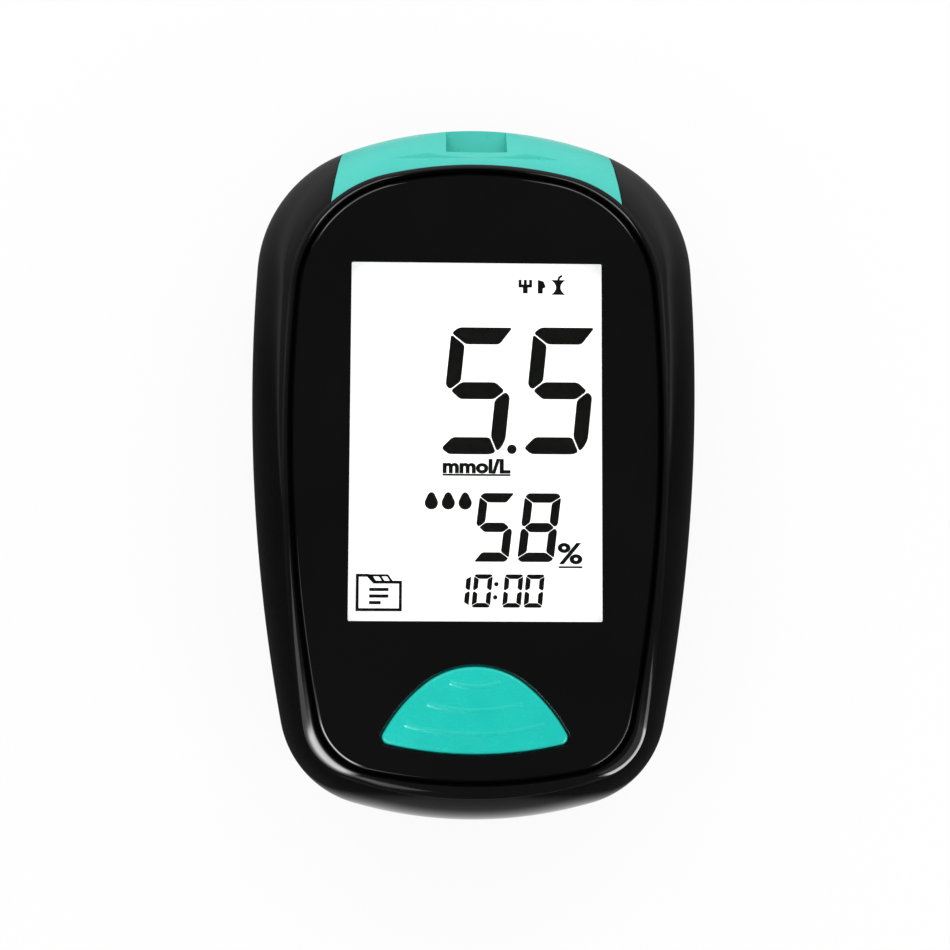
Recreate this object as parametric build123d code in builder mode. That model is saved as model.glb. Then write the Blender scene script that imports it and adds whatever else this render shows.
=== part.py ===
from build123d import *

import os
from dataclasses import astuple, dataclass
from math import asin, atan2, cos, hypot, radians, sin, sqrt, tan

# Blood glucose meter with a sprung button and a sliding battery door, in millimetres.
# It lies on its back: +Z comes out of the display, +Y points to the strip port and +X to the right.
# The origin is the middle of the back, on the surface that the meter rests on.

# ---- case: overall size and the levels of its parts above the back ----
case_width = 61.0
case_length = 94.6
parting_height = 11.0  # plane where the rear and front housings meet
face_height = 24.6  # top of the face panel
rim_drop = 0.6  # from the face down to where the leaning sides end and the rim bead begins
rim_rise = 0.35  # from the face up to the crest of the rim bead
wall = 2.0
floor_thickness = 2.0
rear_edge_radius = 6.5
fit_gap = 0.1  # between neighbouring shells
slide_gap = 0.25  # beside parts that move

# ---- how far the sides lean in from the parting plane to the rim, and how wide the rim bead is ----
side_lean = 5.35
top_lean = 8.1
bottom_lean = 4.0
side_turn = 60.0  # degrees that the convex side profile turns through
rim_side_width = 0.9
rim_top_width = 0.9
rim_bottom_width = 1.8
rim_edge_radius = 0.7

# ---- arcs of the plan outlines of the case, the rim and the panel ----
case_widest_y, rim_widest_y, panel_widest_y = 12.8, 4.5, 5.5
case_top_radius, rim_top_radius, panel_top_radius = 49.8, 51.5, 49.0
case_bottom_radius, rim_bottom_radius, panel_bottom_radius = 58.4, 52.7, 66.0
case_side_radius, rim_side_radius, panel_side_radius = 241.6, 242.0, 200.0
case_shoulder_radius, rim_shoulder_radius, panel_shoulder_radius = 18.7, 16.3, 16.2
case_corner_radius, rim_corner_radius, panel_corner_radius = 14.0, 8.1, 8.7

# ---- face panel, window and the layers below it ----
panel_thickness = 1.5
panel_edge_radius = 0.25
tape_thickness = 0.15
tape_width = 1.6
deck_thickness = 1.0
window_side_margin = 7.85  # panel beside the window where the panel is widest
window_above_button = 5.78
window_corner_radius = 0.2
lens_gap = 0.05
lcd_depth = 0.2  # from the underside of the lens to the glass
lcd_glass_thickness = 1.1
lcd_side_margin = 1.9  # glass beyond the window at the sides and the bottom
lcd_ledge = 2.9  # glass beyond the window at the top, where the contacts are
reflector_thickness = 0.3
segment_thickness = 0.1
holder_wall = 1.0
holder_shelf = 1.2  # width of the ledge that carries the glass
holder_connector_gap = 1.15  # between the display holder and the strip connector
zebra_width = 1.5

# ---- circuit board and what stands on it ----
board_lift = 0.4  # between the battery bay and the board
board_thickness = 1.0
board_inset = 1.0  # inside the rim outline
controller_size = 10.0
controller_thickness = 1.5
controller_x, controller_y = -5.5, 8.0
chip_chamfer = 0.3
analog_length, analog_width, analog_thickness = 5.0, 4.0, 1.3
analog_x = 9.0
analog_below_zebra = 8.05
crystal_length, crystal_diameter = 6.0, 2.0
crystal_x, crystal_y = 4.5, 4.0
buzzer_diameter, buzzer_thickness, buzzer_port_radius = 8.0, 2.6, 1.0
buzzer_x = 11.2
buzzer_from_end = 15.0  # from the bottom end of the case

# ---- button: half-moon outline, cap above the panel, collar below the deck ----
button_from_end = 9.72  # from the bottom end of the case to the bottom arc
button_length = 11.05
button_crown_radius = 10.4
button_crown_turn = 39.0  # degrees each side of the crown
button_flank_radius = 21.0
button_bottom_radius = 50.0
button_corner_radius = 0.9
button_gap = 0.3
button_rise = 0.55  # above the face panel
button_edge_radius = 0.35
button_travel = 0.6
collar_width = 0.8
collar_thickness = 0.8
stem_radius = 1.9
ridge_width = 0.5
ridge_height = 0.15
ridge_arcs = [(3.04, 2.07, 0.44), (5.85, 4.77, 0.77), (8.63, 7.35, 1.17)]  # half length, below the crown, sag
switch_size = 6.0
switch_below_crown = 5.27
plunger_radius = 1.7
plunger_guide = 1.2  # length of the plunger inside the switch at rest
plunger_above_middle = 1.375  # its top, above the middle between the board and the collar
plunger_spare = 0.2  # what is left between the switch and the stem when the button is down
plunger_gap = 0.08

# ---- strip port: cap borders, thumb shelf, scoop, notch and slot ----
cap_side_setback = 5.95  # from the rim's widest place in to the cap's border
cap_border_from_end = 12.5  # where that is measured, from the top end of the case
cap_border_lean = 0.11  # how fast the borders close in towards the top end
cap_length = 16.3
rim_undercut = 0.35  # how far the cap tucks under the rim bead
shelf_drop = 2.3  # below the face
shelf_length = 7.2
shelf_back_radius = 130.0  # the shelf's back wall is an arc, deepest in the middle
scoop_setback = 0.7  # from the shelf's back wall to where the scoop leaves the shelf
scoop_slope = 48.0  # degrees below level
scoop_radius = 50.0
notch_length = 5.5
notch_half_width = 4.1
strip_floor_rise = 0.8  # above the board
slot_half_width = 3.85
slot_height = 1.4
port_wall = 1.5
connector_length = 7.6
connector_wall = 2.2
connector_roof_gap = 1.75  # below the deck
connector_cap_gap = 0.55
contact_count = 4
contact_pitch = 2.0
contact_width = 0.8
contact_thickness = 0.15
contact_length = 5.0
contact_tail = 1.0
contact_gap = 0.05

# ---- battery bay, cells and contacts ----
cell_diameter = 10.5
cell_length = 44.5
cell_nub_radius = 1.9
cell_nub_length = 0.8
cell_spacing = 0.8  # between the two cells
cell_edge_radius = 0.5
cell_gap = 0.35  # above and beside the cells
spring_length = 3.5
spring_radius = 2.4
spring_wire_radius = 0.25
spring_turns = 3
plate_thickness = 0.4
plate_height = 7.0
plate_tail_width = 1.5
plate_tail_gap = 0.25
end_play = 0.1  # between a cell and its contacts
bay_from_end = 3.9  # from the bottom end of the case
bay_roof = 1.0
bay_back_wall = 1.65  # behind the door's end
pocket_width = 2.9
pocket_wall = 1.4

# ---- battery door ----
door_lap = 2.5  # beyond the bay at each side
door_skin = 1.6
door_frame = 1.35  # width of the door's thick side bars
rail_width = 1.65  # how far the rails reach under the floor beside the door
rail_thickness = 1.0
door_end_beyond_bay = 1.4
door_end_wall = 2.0
grip_count = 4
grip_pitch = 2.0
grip_half_length = 5.5
grip_width = 0.9
grip_depth = 0.4
grip_from_door_end = 13.0  # to the groove that lies furthest from it

# ---- screws and blank label ----
case_boss_radius = 2.4
case_screw_inset = 8.5  # upper pair, from the widest place of the case
case_screw_from_end = 20.3  # upper pair, from the top end
case_screw_bay_gap = 0.95  # lower pair, between the boss and the bay
case_screw_low_from_end = 16.3  # lower pair, from the bottom end
case_screw_shank_radius = 0.95
case_screw_head_radius = 1.9
case_screw_head_height = 1.4
case_screw_depth = 1.4  # head top below the back
case_screw_length = 12.0
board_boss_radius = 1.9
board_screw_inset = 3.25  # from the widest place of the rim
board_screw_y = 12.0
board_screw_shank_radius = 0.8
board_screw_head_radius = 1.5
board_screw_head_height = 1.1
boss_roof = 1.75  # between the bore of a board boss and the underside of the deck
case_bore_spare = 3.2  # bore beyond the end of a case screw
board_bore_spare = 1.0  # bore beyond the end of a board screw
screw_gap = 0.05
drive_radius = 0.8
drive_depth = 0.6
label_width, label_height = 32.0, 20.0
label_corner_radius = 1.5
label_from_end = 18.3  # its middle, from the top end of the case
label_thickness = 0.2

# ---- levels that follow from the sizes above, from the back to the face ----
rim_base_height = face_height - rim_drop
rim_crest_height = face_height + rim_rise
panel_low = face_height - panel_thickness
deck_high = panel_low - tape_thickness
deck_low = deck_high - deck_thickness
glass_high = panel_low - lcd_depth
glass_low = glass_high - lcd_glass_thickness
holder_high = glass_low - reflector_thickness
cell_radius = cell_diameter / 2
cell_height = door_skin + cell_gap + cell_radius
bay_ceiling = cell_height + cell_radius + cell_gap
bay_top = bay_ceiling + bay_roof
board_height = bay_top + board_lift
board_high = board_height + board_thickness
rail_low = floor_thickness + fit_gap
rail_high = rail_low + rail_thickness
channel_high = rail_high + slide_gap
strip_floor_height = board_high + strip_floor_rise
slot_high = strip_floor_height + slot_height
shelf_height = face_height - shelf_drop
connector_top_height = deck_low - connector_roof_gap
button_high = face_height + button_rise
collar_high = deck_low - fit_gap
collar_low = collar_high - collar_thickness
plunger_high = (board_high + collar_low) / 2 + plunger_above_middle
switch_high = plunger_high - button_travel - plunger_spare
plunger_low = switch_high - plunger_guide
case_bore_high = case_screw_depth + case_screw_head_height + case_screw_length + case_bore_spare
board_bore_high = deck_low - boss_roof
board_screw_length = board_bore_high - board_bore_spare - board_height

# ---- places that follow from the sizes above ----
end_y = case_length / 2
rim_half_width = case_width / 2 - side_lean
panel_half_width = rim_half_width - rim_side_width
shelf_y = end_y - shelf_length
notch_y = end_y - notch_length
cap_start_y = end_y - cap_length
cap_border_y = end_y - cap_border_from_end
cap_half_width = rim_half_width - cap_side_setback
connector_end_y = end_y - top_lean - rim_undercut - connector_cap_gap
connector_start_y = connector_end_y - connector_length
button_bottom_y = -end_y + button_from_end
button_top_y = button_bottom_y + button_length
switch_y = button_top_y - switch_below_crown
buzzer_y = -end_y + buzzer_from_end
window_half_width = panel_half_width - window_side_margin
window_low_y = button_top_y + window_above_button
glass_high_y = connector_start_y - holder_connector_gap - holder_wall / 2
glass_low_y = window_low_y - lcd_side_margin
glass_half_width = window_half_width + lcd_side_margin
window_high_y = glass_high_y - lcd_ledge
window_y, window_height = (window_low_y + window_high_y) / 2, window_high_y - window_low_y
zebra_y = glass_high_y - zebra_width
analog_y = zebra_y - analog_below_zebra
cell_pitch = cell_diameter + cell_spacing
bay_half_width = cell_pitch / 2 + cell_radius + cell_gap
bay_outer_half_width = bay_half_width + 2 * pocket_wall + pocket_width
bay_start_y = -end_y + bay_from_end
bay_end_y = bay_start_y + cell_length + spring_length + 2 * plate_thickness + 2 * end_play
door_half_width = bay_half_width + door_lap
door_end_y = bay_end_y + door_end_beyond_bay
bay_outer_y = door_end_y + slide_gap + bay_back_wall
grip_y = door_end_y - grip_from_door_end
label_y = end_y - label_from_end
case_screw_x, case_screw_y = case_width / 2 - case_screw_inset, end_y - case_screw_from_end
case_screw_low_x = bay_outer_half_width + case_boss_radius + case_screw_bay_gap
case_screw_low_y = -end_y + case_screw_low_from_end
case_screw_places = [(-case_screw_x, case_screw_y), (case_screw_x, case_screw_y),
                     (-case_screw_low_x, case_screw_low_y), (case_screw_low_x, case_screw_low_y)]
board_screw_x = rim_half_width - board_screw_inset
board_screw_places = [(x, y) for y in (board_screw_y, -board_screw_y) for x in (-board_screw_x, board_screw_x)]
far = 2 * case_length  # longer than anything here, for cuts that run right through


def meet(first, first_distance, second, second_distance, toward):
    """The point at the given distances from two points that lies furthest in one direction."""
    across, up = second[0] - first[0], second[1] - first[1]
    span = hypot(across, up)
    along = (first_distance**2 - second_distance**2 + span**2) / (2 * span)
    off = sqrt(first_distance**2 - along**2)
    base = (first[0] + along * across / span, first[1] + along * up / span)
    sides = [(base[0] - side * off * up / span, base[1] + side * off * across / span) for side in (1, -1)]
    return max(sides, key=lambda point: point[0] * toward[0] + point[1] * toward[1])


def on_circle(centre, radius, toward):
    """The point of a circle that lies in the direction of another point, seen from the centre."""
    angle = atan2(toward[1] - centre[1], toward[0] - centre[0])
    return (centre[0] + radius * cos(angle), centre[1] + radius * sin(angle))


def flip(point):
    """The same point on the other side of the middle plane."""
    return (-point[0], point[1])


@dataclass(frozen=True)
class Outline:
    """Rounded plan shape, mirrored about X = 0: top arc, shoulders, long sides, corners and bottom arc."""

    half_width: float
    widest_y: float
    top_y: float
    bottom_y: float
    top_radius: float
    bottom_radius: float
    side_radius: float
    shoulder_radius: float
    corner_radius: float

    def inset(self, distance):
        """The outline moved inwards everywhere by one distance."""
        return Outline(self.half_width - distance, self.widest_y, self.top_y - distance,
                       self.bottom_y + distance, self.top_radius - distance,
                       self.bottom_radius - distance, self.side_radius - distance,
                       self.shoulder_radius - distance, self.corner_radius - distance)

    def toward(self, other, share):
        """A shape between this outline and another one."""
        return Outline(*(mine + share * (theirs - mine) for mine, theirs in zip(astuple(self), astuple(other))))

    def arcs(self):
        """Start, middle and end of the eight tangent arcs, once around the outline."""
        top = (0, self.top_y - self.top_radius)
        side = (self.half_width - self.side_radius, self.widest_y)
        bottom = (0, self.bottom_y + self.bottom_radius)
        shoulder = meet(top, self.top_radius - self.shoulder_radius,
                        side, self.side_radius - self.shoulder_radius, toward=(0, 1))
        corner = meet(side, self.side_radius - self.corner_radius,
                      bottom, self.bottom_radius - self.corner_radius, toward=(0, -1))
        ends = [on_circle(top, self.top_radius, shoulder), on_circle(side, self.side_radius, shoulder),
                on_circle(side, self.side_radius, corner), on_circle(bottom, self.bottom_radius, corner)]
        middles = []
        for centre, radius, first, last in ((shoulder, self.shoulder_radius, ends[0], ends[1]),
                                            (side, self.side_radius, ends[1], ends[2]),
                                            (corner, self.corner_radius, ends[2], ends[3])):
            halfway = ((first[0] + last[0]) / 2, (first[1] + last[1]) / 2)
            middles.append(on_circle(centre, radius, halfway))
        right = [(ends[index], middles[index], ends[index + 1]) for index in range(3)]
        left = [(flip(last), flip(middle), flip(first)) for first, middle, last in reversed(right)]
        return [(flip(ends[0]), (0, self.top_y), ends[0]), *right,
                (ends[3], (0, self.bottom_y), flip(ends[3])), *left]


case_outline = Outline(
    half_width=case_width / 2, widest_y=case_widest_y, top_y=end_y, bottom_y=-end_y,
    top_radius=case_top_radius, bottom_radius=case_bottom_radius, side_radius=case_side_radius,
    shoulder_radius=case_shoulder_radius, corner_radius=case_corner_radius)
rim_outline = Outline(
    half_width=rim_half_width, widest_y=rim_widest_y, top_y=end_y - top_lean, bottom_y=-end_y + bottom_lean,
    top_radius=rim_top_radius, bottom_radius=rim_bottom_radius, side_radius=rim_side_radius,
    shoulder_radius=rim_shoulder_radius, corner_radius=rim_corner_radius)
panel_outline = Outline(
    half_width=panel_half_width, widest_y=panel_widest_y,
    top_y=rim_outline.top_y - rim_top_width, bottom_y=rim_outline.bottom_y + rim_bottom_width,
    top_radius=panel_top_radius, bottom_radius=panel_bottom_radius, side_radius=panel_side_radius,
    shoulder_radius=panel_shoulder_radius, corner_radius=panel_corner_radius)
board_outline = rim_outline.inset(board_inset)


def plan_face(outline):
    """The flat face inside an outline."""
    with BuildSketch() as face:
        with BuildLine():
            for start, middle, end in outline.arcs():
                ThreePointArc(start, middle, end)
        make_face()
    return face.sketch


def block(x_range, y_range, z_range, mode=Mode.ADD):
    """A box between two values on each axis, added to or cut from the part being built."""
    ranges = (x_range, y_range, z_range)
    with Locations(tuple((low + high) / 2 for low, high in ranges)):
        Box(*(high - low for low, high in ranges), mode=mode)


def side_body(top_height, inset=0.0, levels=5):
    """The space inside the convex sides, from the parting plane up to a height, less an inset.

    The side profile is part of an ellipse: it leaves the parting plane upright and has turned inwards
    by side_turn degrees when it meets the rim.
    """
    full = radians(side_turn)
    rise = rim_base_height - parting_height
    last = asin((top_height - parting_height) / rise * sin(full))
    with BuildPart() as body:
        for level in range(levels):
            turn = last * level / (levels - 1)
            share = (1 - cos(turn)) / (1 - cos(full))
            with BuildSketch(Plane.XY.offset(parting_height + rise * sin(turn) / sin(full))):
                add(plan_face(case_outline.toward(rim_outline, share).inset(inset)))
        loft()
    return body.part


def rear_body():
    """The full outside of the rear half: upright sides and a rounded edge around the back."""
    with BuildPart() as body:
        with BuildSketch():
            add(plan_face(case_outline))
        extrude(amount=parting_height)
        fillet(body.faces().sort_by(Axis.Z)[0].edges(), radius=rear_edge_radius)
    return body.part


def button_face(grow=0.0):
    """Half-moon of the button: crown arc, two flanks and a shallow bottom arc, grown all round."""
    turn = radians(button_crown_turn)
    crown = (0, button_top_y - button_crown_radius)
    shift = button_flank_radius - button_crown_radius
    flank = (crown[0] - shift * sin(turn), crown[1] - shift * cos(turn))
    bottom = (0, button_bottom_y + button_bottom_radius)
    shoulder = (crown[0] + button_crown_radius * sin(turn), crown[1] + button_crown_radius * cos(turn))
    corner = meet(flank, button_flank_radius, bottom, button_bottom_radius, toward=(1, 0))
    halfway = ((shoulder[0] + corner[0]) / 2, (shoulder[1] + corner[1]) / 2)
    side = on_circle(flank, button_flank_radius, halfway)
    with BuildSketch() as face:
        with BuildLine():
            ThreePointArc(flip(shoulder), (0, button_top_y), shoulder)
            ThreePointArc(shoulder, side, corner)
            ThreePointArc(corner, (0, button_bottom_y), flip(corner))
            ThreePointArc(flip(corner), flip(side), flip(shoulder))
        make_face()
        fillet(face.vertices().sort_by(Axis.Y)[:2], radius=button_corner_radius)
        if grow:
            offset(amount=grow)
    return face.sketch


def cap_zone(gap):
    """The space of the port cap: between two leaning borders, outside the rim and below its bead."""
    borders = [(cap_half_width + cap_border_lean * (cap_border_y - y) - gap, y)
               for y in (cap_start_y, case_outline.top_y + 1)]
    with BuildPart() as zone:
        with BuildSketch(Plane.XY.offset(parting_height)):
            with BuildLine():
                Polyline(*borders, *(flip(point) for point in reversed(borders)), close=True)
            make_face()
            add(plan_face(rim_outline.inset(rim_undercut - gap)), mode=Mode.SUBTRACT)
        extrude(amount=rim_base_height - parting_height - gap / 2)
    return zone.part


def inset_polygon(points, distance):
    """A convex polygon, listed counter-clockwise, with every side moved inwards by one distance."""
    moved = []
    for index, (x, y) in enumerate(points):
        before, after = points[index - 1], points[(index + 1) % len(points)]
        first = atan2(y - before[1], x - before[0])
        second = atan2(after[1] - y, after[0] - x)
        half = (second - first) / 2
        reach = distance / cos(half)
        moved.append((x - reach * sin(first + half), y + reach * cos(first + half)))
    return moved


def segment_polygons(digit, corner, width, height, stroke, bevel):
    """Outlines of the lit bars of a seven-bar digit that leans to the right, with gaps between them.

    Args:
        digit: the character to show, a figure from 0 to 9.
        corner: lower left corner of the digit.
        width, height: size of the upright digit.
        stroke: width of the upright bars and of the level bars.
        bevel: length cut off where two lit bars meet at a corner of the digit.
    """
    side, level = stroke
    middle = height / 2
    upper, lower = middle + level / 2, middle - level / 2
    lit = {"0": "abcdef", "1": "bc", "5": "afgcd", "8": "abcdefg"}[digit]

    def cut(first, second):
        """Length cut off the corner between two bars: nothing where one of them is not lit."""
        return bevel if first in lit and second in lit else 0

    def upright(length):
        """The upper left bar, with its outer corner cut off by a length."""
        share = length / (side + level)
        return [(0, middle), (side, upper), (side, height - level),
                (share * side, height - share * level), (0, height - length)]

    def lying(left_length, right_length):
        """The top bar, with its outer corners cut off by two lengths."""
        left, right = left_length / (side + level), right_length / (side + level)
        return [(side, height - level), (width - side, height - level),
                (width - right * side, height - right * level), (width - right_length, height),
                (left_length, height), (left * side, height - left * level)]

    def across(points):
        """The same bar on the other side of the digit."""
        return [(width - x, y) for x, y in reversed(points)]

    def below(points):
        """The same bar in the other half of the digit."""
        return [(x, height - y) for x, y in reversed(points)]

    bars = {
        "a": lying(cut("a", "f"), cut("a", "b")),
        "b": across(upright(cut("a", "b"))),
        "c": across(below(upright(cut("c", "d")))),
        "d": below(lying(cut("d", "e"), cut("c", "d"))),
        "e": below(upright(cut("d", "e"))),
        "f": upright(cut("a", "f")),
        "g": [(0, middle), (side, lower), (width - side, lower), (width, middle),
              (width - side, upper), (side, upper)],
    }
    # A corner that is not cut gives the same point twice.
    outlines = [inset_polygon(list(dict.fromkeys(bars[name])), bar_gap) for name in lit]
    return [[(corner[0] + x + y * digit_lean, corner[1] + y) for x, y in outline] for outline in outlines]


def cell(x, low_y, nub_up):
    """One cylindrical cell with its positive nub at the upper or the lower end."""
    can_length = cell_length - cell_nub_length
    can_low_y = low_y if nub_up else low_y + cell_nub_length
    # The plane's normal points to -Y, so lengths along +Y are extruded backwards.
    with BuildPart() as body:
        with BuildSketch(Plane.XZ.offset(-can_low_y)):
            with Locations((x, cell_height)):
                Circle(cell_radius)
        extrude(amount=-can_length)
        fillet(body.edges(), radius=cell_edge_radius)
        with BuildSketch(Plane.XZ.offset(-low_y)):
            with Locations((x, cell_height)):
                Circle(cell_nub_radius)
        extrude(amount=-cell_length if nub_up else -cell_nub_length - 1)
    return body.part


def spring(x, low_y):
    """A helical contact spring standing along Y."""
    height = spring_length - 2 * spring_wire_radius
    with BuildPart() as coil:
        with BuildLine() as path:
            Helix(pitch=height / spring_turns, height=height, radius=spring_radius,
                  center=(x, low_y + spring_wire_radius, cell_height), direction=(0, 1, 0))
        with BuildSketch(Plane(origin=path.line @ 0, z_dir=path.line % 0)):
            Circle(spring_wire_radius)
        sweep(is_frenet=True)
    return coil.part


def screws(places, start_height, head_radius, head_height, shank_radius, length):
    """Pan head screws that point up, with a round drive recess in each head."""
    with BuildPart() as group:
        with BuildSketch(Plane.XY.offset(start_height)):
            with Locations(*places):
                Circle(head_radius)
        extrude(amount=head_height)
        with BuildSketch(Plane.XY.offset(start_height)):
            with Locations(*places):
                Circle(shank_radius)
        extrude(amount=head_height + length)
        with BuildSketch(Plane.XY.offset(start_height)):
            with Locations(*places):
                RegularPolygon(drive_radius, 6)
        extrude(amount=drive_depth, mode=Mode.SUBTRACT)
    return group.part


# ---- figures on the display: lower left corner, seen from the window's lower right corner, and size ----
digit_lean = tan(radians(5.0))
bar_gap = 0.07  # from a bar's edge to the middle of the gap beside it
large_digit = dict(width=7.59, height=16.74, stroke=(1.8, 2.31), bevel=0.6)
small_digit = dict(width=4.59, height=8.98, stroke=(1.25, 1.25), bevel=0.4)
clock_digit = dict(width=2.38, height=4.4, stroke=(0.68, 0.66), bevel=0.25)
figures = [
    ("5", (-20.82, 21.7), large_digit), ("5", (-10.14, 21.77), large_digit),
    ("5", (-16.61, 7.67), small_digit), ("8", (-10.96, 7.67), small_digit),
    ("1", (-19.77, 1.73), clock_digit), ("0", (-16.97, 1.73), clock_digit),
    ("0", (-13.0, 1.73), clock_digit), ("0", (-10.24, 1.73), clock_digit),
]
dots = [(-11.74, 22.38, 0.6), (-13.65, 4.8, 0.27), (-13.8, 3.1, 0.27)]  # x, y, radius


# ======== rear half ========
with BuildPart() as rear_cavity:
    with BuildSketch(Plane.XY.offset(floor_thickness)):
        add(plan_face(case_outline.inset(wall)))
    extrude(amount=parting_height - floor_thickness)
    fillet(rear_cavity.faces().sort_by(Axis.Z)[0].edges(), radius=rear_edge_radius - wall)
    block((-bay_outer_half_width, bay_outer_half_width), (-far, bay_outer_y), (0, parting_height),
          mode=Mode.SUBTRACT)
    with BuildSketch(Plane.XY):
        with Locations(*case_screw_places):
            Circle(case_boss_radius)
    extrude(amount=parting_height, mode=Mode.SUBTRACT)

with BuildPart() as rear_housing:
    add(rear_body())
    add(rear_cavity.part, mode=Mode.SUBTRACT)
    # The bay rises through the parting plane, clear of the front housing's wall.
    with BuildSketch(Plane.XY.offset(parting_height)):
        with Locations((0, (bay_outer_y - far) / 2)):
            Rectangle(2 * bay_outer_half_width, bay_outer_y + far)
        add(plan_face(case_outline.inset(wall + 2 * slide_gap)), mode=Mode.INTERSECT)
    extrude(amount=bay_top - parting_height)
    block((-bay_half_width, bay_half_width), (bay_start_y, bay_end_y), (floor_thickness, bay_ceiling),
          mode=Mode.SUBTRACT)
    # The door opening and the channel of its rails both run out of the bottom end.
    door_side = door_half_width + slide_gap
    block((-door_side, door_side), (-far, door_end_y + slide_gap), (-1, channel_high), mode=Mode.SUBTRACT)
    block((-door_side - rail_width, door_side + rail_width), (-far, door_end_y + slide_gap),
          (floor_thickness, channel_high), mode=Mode.SUBTRACT)
    # Pockets keep the bay's side walls thin.
    pocket_x = bay_half_width + pocket_wall
    for side in (1, -1):
        block(sorted((side * pocket_x, side * (pocket_x + pocket_width))),
              (bay_start_y + pocket_wall + pocket_width, bay_end_y - pocket_wall),
              (channel_high + pocket_wall, bay_top + 1), mode=Mode.SUBTRACT)
        # Slots in the roof for the tails of the upper contact plates.
        slot_x = plate_tail_width / 2 + plate_tail_gap
        block(sorted((side * (cell_pitch / 2 - slot_x), side * (cell_pitch / 2 + slot_x))),
              (bay_end_y - plate_thickness - fit_gap, bay_end_y), (bay_ceiling - 1, bay_top + 1),
              mode=Mode.SUBTRACT)
    with BuildSketch(Plane.XY):
        with Locations(*case_screw_places):
            Circle(case_screw_shank_radius + slide_gap)
    extrude(amount=parting_height, mode=Mode.SUBTRACT)
    with BuildSketch(Plane.XY):
        with Locations(*case_screw_places):
            Circle(case_screw_head_radius + slide_gap)
    extrude(amount=case_screw_depth + case_screw_head_height, mode=Mode.SUBTRACT)
    with BuildSketch(Plane.XY):
        with Locations((0, label_y)):
            RectangleRounded(label_width + 2 * fit_gap, label_height + 2 * fit_gap, label_corner_radius)
    extrude(amount=label_thickness, mode=Mode.SUBTRACT)

with BuildPart() as battery_door:
    block((-door_half_width, door_half_width), (-far / 2, door_end_y), (0, rail_high))
    block((-door_half_width - rail_width, door_half_width + rail_width), (-far / 2, door_end_y),
          (rail_low, rail_high))
    add(rear_body(), mode=Mode.INTERSECT)
    recess_x = door_half_width - door_frame
    block((-recess_x, recess_x), (case_outline.bottom_y + 2 * door_end_wall, door_end_y + 1),
          (door_skin, rail_high + 1), mode=Mode.SUBTRACT)
    for index in range(grip_count):
        y = grip_y + index * grip_pitch
        block((-grip_half_length, grip_half_length), (y - grip_width / 2, y + grip_width / 2),
              (-1, grip_depth), mode=Mode.SUBTRACT)

with BuildPart() as rear_label:
    with BuildSketch(Plane.XY.offset(fit_gap / 2)):
        with Locations((0, label_y)):
            RectangleRounded(label_width, label_height, label_corner_radius)
    extrude(amount=label_thickness - fit_gap / 2)

# ======== front half ========
with BuildPart() as front_cavity:
    add(side_body(deck_low, wall))
    with BuildSketch(Plane.XY.offset(parting_height)):
        with Locations(*case_screw_places):
            Circle(case_boss_radius)
    extrude(amount=deck_low - parting_height, mode=Mode.SUBTRACT)
    with BuildSketch(Plane.XY.offset(board_high)):
        with Locations(*board_screw_places):
            Circle(board_boss_radius)
    extrude(amount=deck_low - board_high, mode=Mode.SUBTRACT)

with BuildPart() as front_housing:
    add(side_body(rim_base_height))
    with BuildSketch(Plane.XY.offset(rim_base_height)):
        add(plan_face(rim_outline))
    extrude(amount=rim_crest_height - rim_base_height)
    fillet(front_housing.faces().sort_by(Axis.Z)[-1].edges(), radius=rim_edge_radius)
    add(front_cavity.part, mode=Mode.SUBTRACT)
    add(cap_zone(0), mode=Mode.SUBTRACT)
    with BuildSketch(Plane.XY.offset(deck_high)):
        add(plan_face(panel_outline))
    extrude(amount=rim_crest_height, mode=Mode.SUBTRACT)
    # Openings in the deck for the display glass and the button.
    block((-glass_half_width - slide_gap, glass_half_width + slide_gap),
          (glass_low_y - slide_gap, glass_high_y + slide_gap), (deck_low - 1, deck_high + 1), mode=Mode.SUBTRACT)
    with BuildSketch(Plane.XY.offset(deck_low)):
        add(button_face(button_gap))
    extrude(amount=deck_thickness, mode=Mode.SUBTRACT)
    with BuildSketch(Plane.XY.offset(parting_height)):
        with Locations(*case_screw_places):
            Circle(case_screw_shank_radius + screw_gap)
    extrude(amount=case_bore_high - parting_height, mode=Mode.SUBTRACT)
    with BuildSketch(Plane.XY.offset(board_high)):
        with Locations(*board_screw_places):
            Circle(board_screw_shank_radius + screw_gap)
    extrude(amount=board_bore_high - board_high, mode=Mode.SUBTRACT)

with BuildPart() as port_cavity:
    add(side_body(deck_low, wall))
    block((-notch_half_width - port_wall, notch_half_width + port_wall), (0, far),
          (strip_floor_height - port_wall, far), mode=Mode.SUBTRACT)

with BuildPart() as port_cap:
    add(side_body(rim_base_height))
    add(port_cavity.part, mode=Mode.SUBTRACT)
    add(cap_zone(fit_gap), mode=Mode.INTERSECT)
    # Thumb shelf across the leaning top, the scoop below it, the notch in both and the slot behind the notch.
    with BuildSketch(Plane.XY.offset(shelf_height)):
        with Locations((0, shelf_y + shelf_back_radius)):
            Circle(shelf_back_radius)
    extrude(amount=rim_base_height - shelf_height, mode=Mode.SUBTRACT)
    slope = radians(scoop_slope)
    with BuildSketch(Plane(origin=(0, shelf_y + scoop_setback, shelf_height), x_dir=(1, 0, 0),
                           z_dir=(0, cos(slope), -sin(slope)))):
        with Locations((0, -scoop_radius)):
            Circle(scoop_radius)
    extrude(amount=cap_length, mode=Mode.SUBTRACT)
    block((-notch_half_width, notch_half_width), (notch_y, far), (strip_floor_height, far), mode=Mode.SUBTRACT)
    block((-slot_half_width, slot_half_width), (0, far), (strip_floor_height, slot_high), mode=Mode.SUBTRACT)

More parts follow.
